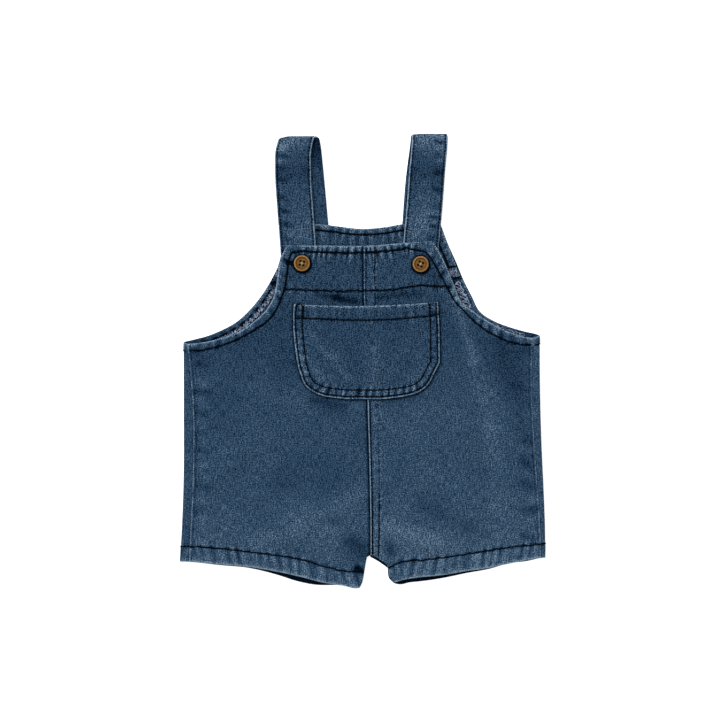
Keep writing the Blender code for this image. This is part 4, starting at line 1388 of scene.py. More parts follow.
@dataclass
class FrontPanel(LyingCloth):
    """Half of the front: leg, body and half of the bib, with its buttonhole."""

    step: ClassVar[float] = 0.7

    side: Side
    finish: Material
    outline: Seamline       # of the pocket
    tone: float = 0.0
    pitch: float = 1.3
    columns: int = 116
    seam_tuck: float = 4.0  # how far the left half runs under the right
    fell_low: Place = (-170.0, -171.6)  # where the felled seam's rows start
    fell_high: float = 99.0
    fell_margin: float = 1.0    # of the felled seam beyond its far row
    fell_lift: float = 1.0
    side_lift: float = 0.5
    hole_length: float = 14.0
    dusk: float = 0.10      # how much darker it is above the waist
    dawn: float = 0.12      # how much paler it is towards the hem

    def __post_init__(self) -> None:
        """Work out the plan and the lines that are sewn on it."""
        rows, side = FRONT_ROWS[self.side], self.side
        tuck = self.seam_tuck if side is Side.LEFT else 0.0
        inner, outer = edges(rows, lambda y: (FRONT_SEAM.at(y) + 0.5 * SEAM_GAP * side.value
                                              + tuck * float(ease(-171.0, -150.0, y))))
        last = len(rows) - 1
        self.ruled = Ruled(inner, outer, (*INNER_CORNERS[side], last), (*range(UNDERARM + 1), last))
        fine = uneven(len(rows))
        outer_line = self.ruled.edge(1, fine)
        armhole = outer_line[fine >= UNDERARM]
        top_x = np.linspace(armhole[-1, 0], float(inner[-1, 0]), 60)[1:]
        top = np.stack((top_x, FRONT_TOP.at(top_x)), axis=1)
        self.armhole = Seamline(np.concatenate((armhole, top)), smooth=False)
        self.side_line = Seamline(outer_line[fine <= UNDERARM], smooth=False)
        hem_x = np.linspace(inner[0, 0], outer[0, 0], 120)
        self.hem = Seamline.over(hem_x, FRONT_HEMS[side].at(hem_x))
        row_x = np.linspace(HEM_ROW_START[side], outer[0, 0], 120)
        self.hem_row = Seamline.over(row_x, HEM_STITCHES[side].at(row_x))
        self.top_row = Seamline(TOP_STITCHES[side])
        self.armhole_row = Seamline(ARMHOLE_STITCHES[side])
        bib = np.concatenate((self.top_row.points[:-1], self.armhole_row.points))
        self.bib_row = Seamline(bib, smooth=False)
        self.facing_row = Seamline(FACING_STITCHES[side])
        self.fell_rows = []
        for away, low in zip((FELL_NEAR, FELL_FAR), self.fell_low):
            seam_y = np.linspace(low, self.fell_high, 200)
            self.fell_rows.append(Seamline.over(FRONT_SEAM.at(seam_y) + away.at(seam_y), seam_y))

    def features(self) -> list[Feature]:
        """What is sewn and creased into this half.

        Returns:
            Turnings of bib, armhole and hem, the row that holds the bib's facing, the marks, the painted
            shadow round the button, and on the right half the felled seam's rows.
        """
        left = self.side is Side.LEFT
        seed = 10 if left else 40
        corner = self.top_row.length
        x, y, _ = button_middle(self.side)
        made: list[Feature] = [
            Turning(self.armhole, self.bib_row, 5.4, 0.34, 6.5, seed, slant=0.12, shade=0.60, fold=0.7,
                    worn=1.1, press=1.0, stretch=(-math.inf, corner - 4.0)),
            Turning(self.armhole, self.bib_row, 9.5, 0.20, 1.6, seed + 5, slant=0.4, fold=0.0, worn=1.3,
                    pale=0.03, press=0.0, shade=0.30 if left else 0.44, stretch=(corner - 2.0, math.inf)),
            Turning(self.hem, self.hem_row, 9.6, 0.36, 3.0, seed + 1, slant=0.35, shade=0.38, fold=0.8,
                    worn=1.5, pale=0.02),
            Groove(self.facing_row, 7.5, 0.14, 4.0, seed + 2, shade=0.25, dark=0.85),
            *marks(FRONT_MARKS[self.side]),
            # Painted shadow round the button
            Mark(x + 0.2, y - 0.5, x + 0.2, y - 0.5, 1.1, -1.3, -0.2, core=7.5)]
        if not left:
            near, far = self.fell_rows
            made += [Groove(near, 5.0, 0.08, 2.5, seed + 3, depth=0.25, shade=0.12, dark=0.55),
                     Groove(far, 5.6, 0.10, 2.5, seed + 4, depth=0.25, shade=0.25, dark=0.38)]
        return made

    def drape(self, x: Array, y: Array) -> Drape:
        """Work out this half: its features, its lap or tongue at the seam, its side, and its wear, tone and
        painted light and shade.

        Args:
            x, y: Plan.

        Returns:
            Height of the face that shows, wall, and wear with painted light and shade.
        """
        drape = Drape.even(front_underside(x, y) + CLOTH, CLOTH, self.tone)
        drape.work(self.features(), x, y)
        past = x - FRONT_SEAM.at(y)
        if self.side is Side.RIGHT:
            fell = FELL_FAR.at(y) + self.fell_margin
            lap = (1.0 - ease(-0.8, 1.2, past - fell)) * ease(-172.0, -164.0, y)
            edge_wear = (1.05 - 0.83 * ease(30.0, 60.0, y)) * bell(past - 0.2, 0.7)
            drape.add(self.fell_lift * lap, 0.0, edge_wear + 0.25 * bell(past - fell, 1.1) + 0.07 * lap)
        else:
            tongue = ease(-0.9, 0.3, past) * ease(-168.0, -160.0, y)
            # The left half tucks under the right, with a painted shadow of the lap along the seam
            drape.add(-0.4 * tongue, -0.4 * tongue,
                      -0.95 * bell(past + 0.7, 1.0) - 0.08 * ease(-5.0, 0.0, past))
        edge, arc = self.side_line.near(x, y)
        edge = np.abs(edge)
        wave = ripple(arc, 17.0, 8)
        # The side seam: a worn pale line, painted shade beside it, and painted light and shade on its puckers
        drape.add(self.side_lift * (1.0 - ease(0.6, 3.2, edge)) + 0.10 * wave * bell(edge, 9.0), 0.0,
                  0.6 * bell(edge, 0.8) - 0.36 * bell(edge - 1.9, 0.9) + 0.09 * wave * bell(edge - 3.0, 8.0))
        beside, _ = self.outline.near(x, y)
        # Painted shadow round the pocket
        drape.add(wear=-0.75 * bell(np.maximum(-beside, 0.0) - 0.5, 0.85) * (beside < 0.6))
        drape.add(0.16 * billow(x, y, 46.0, 3) + 0.07 * billow(x, y, 17.0, 4), 0.0,
                  0.035 * billow(x, y, 38.0, 5) + 0.02 * billow(x, y, 13.0, 6)
                  + self.dawn * ease(-105.0, -158.0, y) - self.dusk * ease(-40.0, 20.0, y))
        return drape

    def build(self) -> None:
        """Make the half: the ruled plan, bent to hem and top, with its drape as height."""
        _, _, plan = self.ruled.grid(self.pitch, self.columns)
        bend_end(plan, 0, FRONT_HEMS[self.side], HEM_REACH)
        bend_end(plan, -1, FRONT_TOP, TOP_REACH)
        x, y = plan[..., 0], plan[..., 1]
        drape = self.drape(x, y)
        face = raised(plan, drape.height)
        middle, row_y = buttonhole_middle(self.side)
        row, _ = np.unravel_index(np.hypot(x - middle, y - row_y).argmin(), x.shape)
        inside = np.flatnonzero(np.abs(x[row] - middle) < 0.5 * self.hole_length)
        shell = Shell(face, -UP, drape.wall, drape.wear + 0.12 * bell(rim_distance(face), 0.6), plan,
                      hole=(int(row), int(row) + 1, int(inside[0]), int(inside[-1])))
        name = "front_" + self.side.word
        piece = shell.piece(name + "_panel", self.finish, name)


def button_middle(side: Side) -> Spot:
    """Middle of a button in the plan, and its underside, in mm."""
    low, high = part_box("button_" + side.word)
    return (500.0 * (low[0] + high[0]), 500.0 * (low[1] + high[1]), 1000.0 * low[2])


def buttonhole_middle(side: Side) -> Place:
    """Middle of a buttonhole, which reaches outwards from the button's shank."""
    x, y, _ = button_middle(side)
    return x + HOLE_SHIFT[side][0], y + HOLE_SHIFT[side][1]


class FoldedCloth:
    """Piece whose flat plan is carried round a fold to its place."""

    step: ClassVar[float] = 0.6     # between the points of a line that is laid on it

    def surface(self, plan: Array) -> tuple[Array, Array]:
        """Work out the outer face, with what stands proud of it, over the flat plan.

        Args:
            plan: Places on the flat cloth.

        Returns:
            The face, and the way in from it at each place.
        """
        raise NotImplementedError

    def on_face(self, line: Seamline, start: float, end: float) -> tuple[Array, Array]:
        """Lay part of a line on the outer face.

        Args:
            line: The line.
            start: Distance along it at which the part starts.
            end: Distance at which it ends.

        Returns:
            Its points, and the way out of the cloth at each.
        """
        face, way = self.surface(line.at(np.arange(start, end, self.step)))
        return face, -way


@dataclass
class BackPanel(FoldedCloth):
    """Half of the back, which wraps round the side fold to the side seam on the front."""

    side: Side
    finish: Material
    tone: float = 0.0
    pitch: float = 2.0
    columns: int = 66
    seam_tuck: float = 1.5
    hem_depth: float = 13.4
    armhole_depth: float = 6.8
    band_depth: float = 9.6
    crotch_depth: float = 5.0
    clear: float = 0.3      # how far the plain cloth stays above the surface below
    strip_tone: float = 0.0     # how much paler the strip that comes round to the front is
    top_depth: float = 5.6

    def __post_init__(self) -> None:
        """Work out the plan, laid open, and the lines that are sewn on it."""
        rows, sign, fold = BACK_ROWS[self.side], self.side.value, FOLDS[self.side]
        last = len(rows) - 1
        inner, outer = edges(rows, lambda y: BACK_SEAM.at(y) + 0.5 * SEAM_GAP * sign)
        lies = [Lies.SEAM] * (UNDERARM + 1) + [Lies.FOLD] + [Lies.FLAT] * (last - UNDERARM - 1)
        outer[:, 0] = [sign * self.length(place, x, float(fold.at(y))) for place, (x, y) in zip(lies, outer)]
        self.ruled = Ruled(inner, outer, (*INNER_CORNERS[self.side], last), (*range(UNDERARM + 1), last))
        fine = uneven(len(rows))
        outer_line = self.ruled.edge(1, fine)
        low, high = INNER_CORNERS[self.side][1:]
        self.crotch = Seamline(self.ruled.edge(0, fine[(fine >= low) & (fine <= high)]), smooth=False)
        self.armhole = Seamline(outer_line[fine >= UNDERARM], smooth=False)
        self.armhole_row = self.armhole.offset(sign * self.armhole_depth)
        top_x = np.linspace(inner[-1, 0], outer[-1, 0], 60)
        self.top = Seamline.over(top_x, BACK_TOP.at(top_x))
        self.top_row = Seamline.over(top_x, BACK_TOP.at(top_x) - self.top_depth)
        hem_x = np.linspace(inner[0, 0], outer[0, 0], 120)
        hem_y = BACK_HEMS[self.side].at(hem_x)
        self.hem = Seamline.over(hem_x, hem_y)
        self.hem_row = Seamline.over(hem_x, hem_y + self.hem_depth)

    def length(self, lies: Lies, outer_x: float, fold_x: float) -> float:
        """Distance of a row's outer end from the middle, along the cloth.

        Args:
            lies: Where the end lies.
            outer_x: Its X.
            fold_x: X of the side fold there.

        Returns:
            The distance: to the fold, half its circle round it, and back on the front.
        """
        start = abs(fold_x) - FOLD_BEND
        if lies is Lies.SEAM:
            return start + math.pi * FOLD_BEND + start - (abs(outer_x) + SEAM_GAP) + self.seam_tuck
        return start + 0.5 * math.pi * FOLD_BEND if lies is Lies.FOLD else abs(outer_x)

    def wrap(self, plan: Array) -> tuple[Array, Array, Array]:
        """Carry the open panel round the fold.

        The cloth lies flat to the fold, follows a half circle, and lies flat again on the front.

        Args:
            plan: Distance along the cloth and Y, in the last axis.

        Returns:
            The outer face, the way in from it, and how far round the fold each point is, from 0 to 1.
        """
        distance, y = self.side.value * plan[..., 0], plan[..., 1]
        start = np.abs(FOLDS[self.side].at(y)) - FOLD_BEND
        angle = np.clip((distance - start) / FOLD_BEND, 0.0, math.pi)
        beyond = np.maximum(distance - start - math.pi * FOLD_BEND, 0.0)
        x = np.minimum(distance, start) + FOLD_BEND * np.sin(angle) - beyond
        face = np.stack((self.side.value * x, y, FOLD_BEND * (1.0 - np.cos(angle))), axis=-1)
        way = np.stack((-self.side.value * np.sin(angle), np.zeros_like(y), np.cos(angle)), axis=-1)
        return face, way, angle / math.pi

    def drape(self, plan: Array, round_: Array) -> Drape:
        """What stands proud of the smooth outer face, the wall, and the wear with painted light and shade.

        Args:
            plan: Distance along the cloth and Y.
            round_: How far round the fold, from 0 to 1.

        Returns:
            The three.
        """
        x, y = plan[..., 0], plan[..., 1]
        drape = Drape.even(np.zeros(x.shape), CLOTH, self.tone)
        drape.work((Turning(self.armhole, self.armhole_row, 9.5, 0.12, 4.0, 21, fold=0.3, shade=0.30),
                    Turning(self.hem, self.hem_row, 10.6, 0.14, 4.0, 22, fold=0.3, slant=0.5),
                    Turning(self.top, self.top_row, 7.0, 0.10, 4.0, 23, fold=0.3, worn=0.4)), x, y)
        fold_x = np.abs(FOLDS[self.side].at(y)) + 0.8
        # Painted light along the crest of the side fold, the strip's tone, and slow unevenness
        drape.add(0.0, 0.0, 0.07 * bell(np.abs(x) - fold_x, 1.6) + self.strip_tone * (round_ > 0.5)
                  + 0.03 * billow(x, y, 24.0, 9))
        drape.height = drape.height - self.clear * (1.0 - round_)
        drape.height = np.where(round_ < 0.02, np.minimum(drape.height, -0.02), drape.height)
        return drape

    def surface(self, plan: Array) -> tuple[Array, Array]:
        """The outer face, with its drape, over the open plan, and the way in."""
        face, way, round_ = self.wrap(plan)
        return face - way * self.drape(plan, round_).height[..., None], way

    def plan(self) -> Array:
        """Open panel: closely cut round the fold, with rims all round.

        Returns:
            Distance along the cloth and Y of each point.
        """
        at = self.ruled.rows(self.pitch)
        inner, outer = self.ruled.edge(0, at), self.ruled.edge(1, at)
        sign = self.side.value
        start, length = sign * inner[:, 0], sign * outer[:, 0]
        fold_x = np.abs(FOLDS[self.side].at(outer[:, 1]))
        bend = np.minimum(fold_x - FOLD_BEND - 0.4, length - 12.0)
        strip = np.minimum(bend + math.pi * FOLD_BEND + 0.8, length - 2.4)
        parts = [start[:, None] + RIM[None]]
        for low, high, count in ((start + RIM[-1], bend, self.columns), (bend, strip, 16),
                                 (strip, length - RIM[-1], 8)):
            parts.append(low[:, None] + (high - low)[:, None] * np.linspace(0.0, 1.0, count + 1)[None, 1:])
        parts.append(length[:, None] - RIM[-2::-1][None])
        distance = np.concatenate(parts, axis=1)
        share = (distance - start[:, None]) / (length - start)[:, None]
        y = inner[:, None, 1] * (1.0 - share) + outer[:, None, 1] * share
        plan = np.stack((sign * distance, y), axis=2)
        bend_end(plan, 0, BACK_HEMS[self.side], HEM_REACH)
        bend_end(plan, -1, BACK_TOP, TOP_REACH)
        return plan

    def build(self) -> None:
        """Make the half: the open plan with its drape, carried round the fold."""
        plan = self.plan()
        face, way, round_ = self.wrap(plan)
        drape = self.drape(plan, round_)
        under = (1.0 - ease(0.4, 2.4, self.side.value * (plan[:, -1:, 0] - plan[..., 0]))) * (round_ > 0.9)
        under = under * ease(14.0, -2.0, plan[..., 1])
        # Where the strip runs under the front it sinks and thins, with painted shade
        drape.add(-0.8 * under, -0.35 * under, -0.3 * under)
        turned = [1.0 - ease(depth - 1.0, depth, np.abs(edge.near(plan[..., 0], plan[..., 1])[0]))
                  for edge, depth in ((self.hem, self.hem_depth), (self.armhole, self.band_depth),
                                      (self.crotch, self.crotch_depth))]
        # The inner face of the turned hem, armhole and crotch gets painted shade
        shell = Shell(face - way * drape.height[..., None], way, drape.wall,
                      drape.wear + 0.2 * bell(rim_distance(face), 0.6), plan,
                      inside=1.0 - np.max(turned, axis=0),
                      inner_painted_shade=-1.1 * turned[0] - 0.35 * turned[1] - 1.1 * turned[2])
        name = "back_" + self.side.word
        piece = shell.piece(name + "_panel", self.finish, name)


@dataclass
class ChestPocket(LyingCloth):
    """Patch pocket with rounded lower corners, sewn on with two rows."""

    finish: Material
    tone: float = 0.0
    pitch: float = 1.2
    columns: int = 100
    gap: float = 0.45
    near_row: float = 2.0
    far_row: float = 7.7
    top_dip: float = 2.6
    kink: int = 5           # row at which the right edge turns sharply
    # Rows from the bottom up: left edge, then right edge
    left: tuple[Place, ...] = ((-14, -33.9), (-32.6, -31.6), (-42.6, -27.8), (-49.8, -22), (-53.8, -13),
                               (-56.6, -3), (-58.6, 11), (-60, 26), (-60.2, 38), (-59.6, 48.6))
    right: tuple[Place, ...] = ((16, -34), (35, -31.8), (48.6, -28), (56.9, -21.6), (62.2, -12),
                                (67.3, -2), (67.1, 12), (66.9, 27), (66.3, 38.5), (65.6, 50.6))
    hem: tuple[Place, ...] = ((-60.2, 36.6), (-45, 36), (-28, 35.3), (0, 34.7), (25, 35.4), (45, 37),
                              (66.6, 39.2))

    def __post_init__(self) -> None:
        """Work out the outline and the rows."""
        last = len(self.left) - 1
        ends = (np.array(self.left, float), np.array(self.right, float))
        self.ruled = Ruled(*ends, (0, last), (0, self.kink, last))
        fine = uneven(last + 1)
        bottom = np.linspace(self.left[0], self.right[0], 12)[1:-1]
        outline = np.concatenate((self.ruled.edge(0, fine)[::-1], bottom, self.ruled.edge(1, fine)))
        self.outline = Seamline(outline, smooth=False)
        self.rows = [self.outline.offset(self.near_row), self.outline.offset(self.far_row)]
        share = np.linspace(0.0, 1.0, 80)
        top = np.outer(1.0 - share, self.left[-1]) + np.outer(share, self.right[-1])
        top[:, 1] -= self.dip(share)
        self.top = Seamline(top, smooth=False)
        self.hem_row = Seamline(self.hem)

    def dip(self, share: Array) -> Array:
        """How far the top edge hangs: a half sine wave from corner to corner, a little blunted."""
        return self.top_dip * np.sin(math.pi * share) ** 0.8

    def drape(self, x: Array, y: Array) -> Drape:
        """Work out the pocket, which rises over the centre seam below it.

        Args:
            x, y: Plan.

        Returns:
            Height of the face that shows, wall, and wear with painted light and shade.
        """
        past = x - FRONT_SEAM.at(y)
        over = ease(-3.5, 1.0, past) * (1.0 - ease(8.0, 13.5, past))
        # The pocket rises over the seam below, with a little painted light on that ridge
        drape = Drape.even(front_underside(x, y) + 2.0 * CLOTH + self.gap + 0.95 * over, CLOTH,
                           self.tone + 0.02 * over)
        near, far = self.rows
        drape.work((Turning(self.outline, far, 6.6, 0.10, 2.2, 61, slant=0.2, fold=0.5, shade=0.26, worn=1.0,
                            pale=0.0, press=0.5),
                    Turning(self.outline, far, 6.6, 0.10, 2.2, 61, slant=0.2, fold=0.0, shade=0.36, worn=0.0,
                            pale=0.0, press=0.0, stretch=(68.0, far.length - 72.0)),
                    Groove(near, 4.9, 0.10, 2.0, 62, shade=0.3, dark=0.85),
                    Turning(self.top, self.hem_row, 8.5, 0.10, 3.5, 63, slant=0.1, fold=0.45, shade=0.2,
                            worn=1.0, pale=-0.04), *marks(POCKET_MARKS)), x, y)
        drape.add(0.10 * billow(x, y, 34.0, 7) + 0.05 * billow(x, y, 12.0, 8), 0.0,
                  0.04 * billow(x, y, 22.0, 9) + 0.02 * billow(x, y, 9.0, 10))
        return drape

    def build(self) -> None:
        """Make the pocket: ruled from its left edge to its right, with a dip in its top edge."""
        at, share, plan = self.ruled.grid(self.pitch, self.columns)
        up = np.clip(at - (len(self.left) - 3.0), 0.0, 2.0)[:, None] / 2.0
        plan[:, :, 1] -= up * self.dip(share)
        drape = self.drape(plan[..., 0], plan[..., 1])
        face = raised(plan, drape.height)
        shell = Shell(face, -UP, drape.wall, drape.wear + 0.1 * bell(rim_distance(face), 0.6), plan)
        piece = shell.piece("chest_pocket", self.finish, "pocket")


@dataclass
class BackFacing(LyingCloth):
    """Facing inside the top of the back bib."""

    finish: Material
    tone: float = -0.09
    low: float = 72.0
    high: float = 117.5
    wall: float = 0.9
    lies_at: float = 1.5
    top_depth: float = 5.4
    depth: float = 44.0     # about, along which it is cut into rows
    low_ends: Place = (-76.4, 85.4)
    high_ends: Place = (-63.8, 67.7)
    left_row: tuple[Place, ...] = ((-59.6, 111.5), (-61.4, 101.0), (-65.4, 85.0), (-69.4, 75.0))
    right_row: tuple[Place, ...] = ((63.6, 111.5), (67.2, 100.0), (71.4, 90.0), (75.4, 81.4))

    def __post_init__(self) -> None:
        """Work out the rows."""
        x = np.linspace(*self.high_ends, 90)
        self.top = Seamline.over(x, BACK_TOP.at(x) - SEAM_GAP)
        self.top_row = Seamline.over(x, BACK_TOP.at(x) - self.top_depth)
        self.side_rows = {Side.LEFT: Seamline(self.left_row), Side.RIGHT: Seamline(self.right_row)}
        self.sides = {side: Seamline(((low, self.low), (high, self.high)))
                      for side, low, high in zip(Side, self.low_ends, self.high_ends)}

    def drape(self, x: Array, y: Array) -> Drape:
        """Work out the facing, flat apart from its turned edges.

        Args:
            x, y: Plan.

        Returns:
            Height of the face that shows, wall, and wear with painted light and shade.
        """
        drape = Drape.even(np.full(x.shape, self.lies_at + self.wall), self.wall, self.tone)
        sides = [Turning(self.sides[side], self.side_rows[side], 6.5, 0.10, 3.0, seed, fold=0.2)
                 for side, seed in ((Side.LEFT, 72), (Side.RIGHT, 73))]
        drape.work((Turning(self.top, self.top_row, 8.0, 0.16, 9.0, 71, slant=0.05, fold=0.25, shade=0.42,
                            worn=0.6), *sides), x, y)
        return drape

    def build(self) -> None:
        """Make the facing, ruled between its sides and up to the back's top edge."""
        up = stations(self.depth, 1.4)[:, None] / self.depth
        ends = [low * (1.0 - up) + high * up for low, high in zip(self.low_ends, self.high_ends)]
        width = (ends[1] - ends[0])[:, 0]
        x = ends[0] + across(width, 100)
        y = self.low * (1.0 - up) + (BACK_TOP.at(x[-1]) - SEAM_GAP)[None] * up
        drape = self.drape(x, y)
        face = np.stack((x, y, drape.height), axis=2)
        shell = Shell(face, -UP, drape.wall, drape.wear, face[..., :2])
        piece = shell.piece("back_neck_facing", self.finish, "back_facing", Slot.INSIDE)


@dataclass
class ArmholeBand(LyingCloth):
    """Band that is turned in along a back armhole, with its overlocked edge."""

    side: Side
    finish: Material
    tone: float = 0.02
    width: float = 8.0
    seam_allowance: float = 2.4     # of its cut, taken into the armhole's edge
    inset: float = 0.6
    top: float = 70.0
    reach: float = 146.0
    wall: float = 0.9
    lies_at: float = 1.5
    row_depth: float = 4.2
    row_beyond: float = 0.0     # distance from the middle beyond which its row is sewn

    def __post_init__(self) -> None:
        """Work out the outer edge from the back's own."""
        self.edge = Seamline([(x, y) for x, y in (row[-2:] for row in BACK_ROWS[self.side])
                              if abs(x) < self.reach and y < self.top + 2.0])
        self.inner = self.edge.offset(self.side.value * (self.inset + self.width))
        self.row = self.edge.offset(self.side.value * self.row_depth)

    def drape(self, x: Array, y: Array) -> Drape:
        """Work out the band, with painted shadow towards its inner edge, which lies under the front's edge,
        and darker towards its lower end.

        Args:
            x, y: Plan.

        Returns:
            Height of the face that shows, wall, and wear with painted light and shade.
        """
        drape = Drape.even(np.full(x.shape, self.lies_at + self.wall), self.wall, self.tone)
        Turning(self.edge, self.row, 9.0, 0.16, 2.0, 81, slant=0.3, fold=0.15, shade=0.3, worn=0.7,
                press=0.4).shape(x, y, drape)
        # Painted shadow under the front's edge
        drape.add(wear=-1.1 * ease(4.5, 7.0, np.abs(self.edge.near(x, y)[0])))
        drape.add(wear=-0.35 * ease(40.0, 20.0, y))
        return drape

    def build(self) -> None:
        """Make the band: its edge moved inwards step by step, with the drape as height."""
        along = stations(self.edge.length, 1.3)
        away = stations(self.width, 0.8) + self.inset
        middle = self.edge.at(along)
        way = self.side.value * left_of(unit(np.gradient(middle, along, axis=0)))
        plan = middle[:, None] + away[None, :, None] * way[:, None]
        plan[:, :, 1] = np.minimum(plan[:, :, 1], self.top)
        drape = self.drape(plan[..., 0], plan[..., 1])
        uv = np.stack(np.broadcast_arrays(away[None], along[:, None]), axis=2)
        shell = Shell(raised(plan, drape.height), -UP, drape.wall, drape.wear, uv)
        piece = shell.piece(self.side.word + "_armhole_binding", self.finish,
                            "armhole_band_" + self.side.word, Slot.INSIDE)


@dataclass
class Strap(FoldedCloth):
    """Shoulder strap of two plies: up behind, over its fold, and down in front to the bib."""

    step: ClassVar[float] = 0.5

    side: Side
    finish: Material
    tone: float = 0.0
    stitch_inset: float = 1.9
    clear: float = 0.15
    overlap: float = 0.6    # how far it runs into the seam at the top of the back
    slump: float = 0.0      # how far its left corner sinks at the top

    def __post_init__(self) -> None:
        """Work out how long each stretch is, measured up from the front end."""
        self.runs = STRAP_RUNS[self.side]
        self.bend_y = self.runs.top - STRAP_BEND
        self.bend_end = self.bend_y + math.pi * STRAP_BEND
        self.end = self.bend_end + self.bend_y - BACK_FOOT
        half = 0.5 * STRAP_WIDTH
        self.sides, self.rows = [[Seamline(((sign * out, self.runs.end), (sign * out, self.end)))
                                  for sign in (-1, 1)] for out in (half, half - self.stitch_inset)]

    def place(self, aside: Array, along: Array) -> tuple[Array, Array]:
        """Carry the flat strap to its place.

        In front it runs level at the height of its fold, then round a half circle, and back along
        the surface to the top edge of the back.

        Args:
            aside: Distance from its middle.
            along: Distance along it, as Y on the front.

        Returns:
            Its outer face and the way in from it.
        """
        turn = np.clip((along - self.bend_y) / STRAP_BEND, 0.0, math.pi)
        before, behind = self.runs.front.at(self.bend_y), self.runs.back.at(self.bend_y)
        low_y = BACK_TOP.at(self.runs.back.at(BACK_FOOT) + aside) - self.overlap
        down = np.clip((along - self.bend_end) / (self.end - self.bend_end), 0.0, 1.0)
        back_y = self.bend_y * (1.0 - down) + low_y * down
        front, behind_it = along < self.bend_y, along > self.bend_end
        middle = np.where(front, self.runs.front.at(along),
                          np.where(behind_it, self.runs.back.at(back_y),
                                   before + (behind - before) * 0.5 * (1.0 - np.cos(turn))))
        y = np.where(front, along, np.where(behind_it, back_y, self.bend_y + STRAP_BEND * np.sin(turn)))
        near_top = (ease(self.bend_y - 16.0, self.bend_y, along)
                    * (1.0 - ease(0.0, 16.0, along - self.bend_end)))
        y = y - self.slump * near_top * bell(aside + 0.5 * STRAP_WIDTH, 4.2)
        face = np.stack((middle + aside, y, STRAP_BEND * (1.0 + np.cos(turn))), axis=-1)
        way = np.stack((np.zeros_like(turn), -np.sin(turn), -np.cos(turn)), axis=-1)
        return face, way

    def drape(self, aside: Array, along: Array) -> Drape:
        """What stands proud of the smooth outer face, the wall, and the wear with painted light and shade.

        Args:
            aside: Distance from its middle.
            along: Distance along it.

        Returns:
            The three.
        """
        drape = Drape.even(np.full(aside.shape, -self.clear), STRAP_THICK - self.clear, self.tone)
        seed = 90 if self.side is Side.LEFT else 95
        for number, (edge, row) in enumerate(zip(self.sides, self.rows)):
            blotched = (number == 0) == (self.side is Side.LEFT)
            pitch, swell, worn = (12.0, 0.12, 0.45) if blotched else (6.5, 0.05, 1.5)
            Turning(edge, row, pitch, swell, 3.0, seed + number, slant=0.1, fold=0.0, shade=0.12, worn=worn,
                    pale=0.0, press=0.6).shape(aside, along, drape)
            if blotched:
                wave = ripple(along + 0.2 * aside, 12.2, seed + 5)
                inward = np.abs(edge.near(aside, along)[0])
                drape.add(wear=0.42 * np.minimum(wave - 0.3, 0.0) * bell(inward - 6.5, 4.0))
        drape.work(marks((*STRAP_MARKS_BOTH, *STRAP_MARKS[self.side])), aside, along)
        drape.add(0.10 * bell(aside, 9.0) + 0.05 * billow(aside, along, 22.0, seed), 0.0,
                  0.04 * billow(aside, along, 26.0, seed + 7) + 0.02 * billow(aside, along, 10.0, seed + 8))
        return drape

    def surface(self, plan: Array) -> tuple[Array, Array]:
        """The outer face, with its drape, over the flat strap, and the way in."""
        face, way = self.place(plan[..., 0], plan[..., 1])
        return face - way * self.drape(plan[..., 0], plan[..., 1]).height[..., None], way

    def build(self) -> None:
        """Make the strap."""
        rows = np.concatenate((self.runs.end + stations(self.bend_y - self.runs.end, 1.3)[:-len(RIM) + 1],
                               np.linspace(self.bend_y, self.bend_end, 21)[1:-1],
                               self.bend_end + stations(self.end - self.bend_end, 1.3)[len(RIM):]))
        aside = stations(STRAP_WIDTH, 0.9) - 0.5 * STRAP_WIDTH
        along, aside = np.meshgrid(rows, aside, indexing="ij")
        face, way = self.place(aside, along)
        drape = self.drape(aside, along)
        outer = face - way * drape.height[..., None]
        # Painted shade on the inner faces, strongest up to the fold and fading away behind it
        shell = Shell(outer, way, drape.wall, drape.wear + 0.2 * bell(rim_distance(outer), 0.8),
                      np.stack((aside, along), axis=2), inside=np.zeros(along.shape),
                      inner_painted_shade=-0.12 - 0.7 * bell(np.maximum(along - self.bend_end, 0.0), 22.0))
        piece = shell.piece(self.side.word + "_shoulder_strap", self.finish, "strap_" + self.side.word)


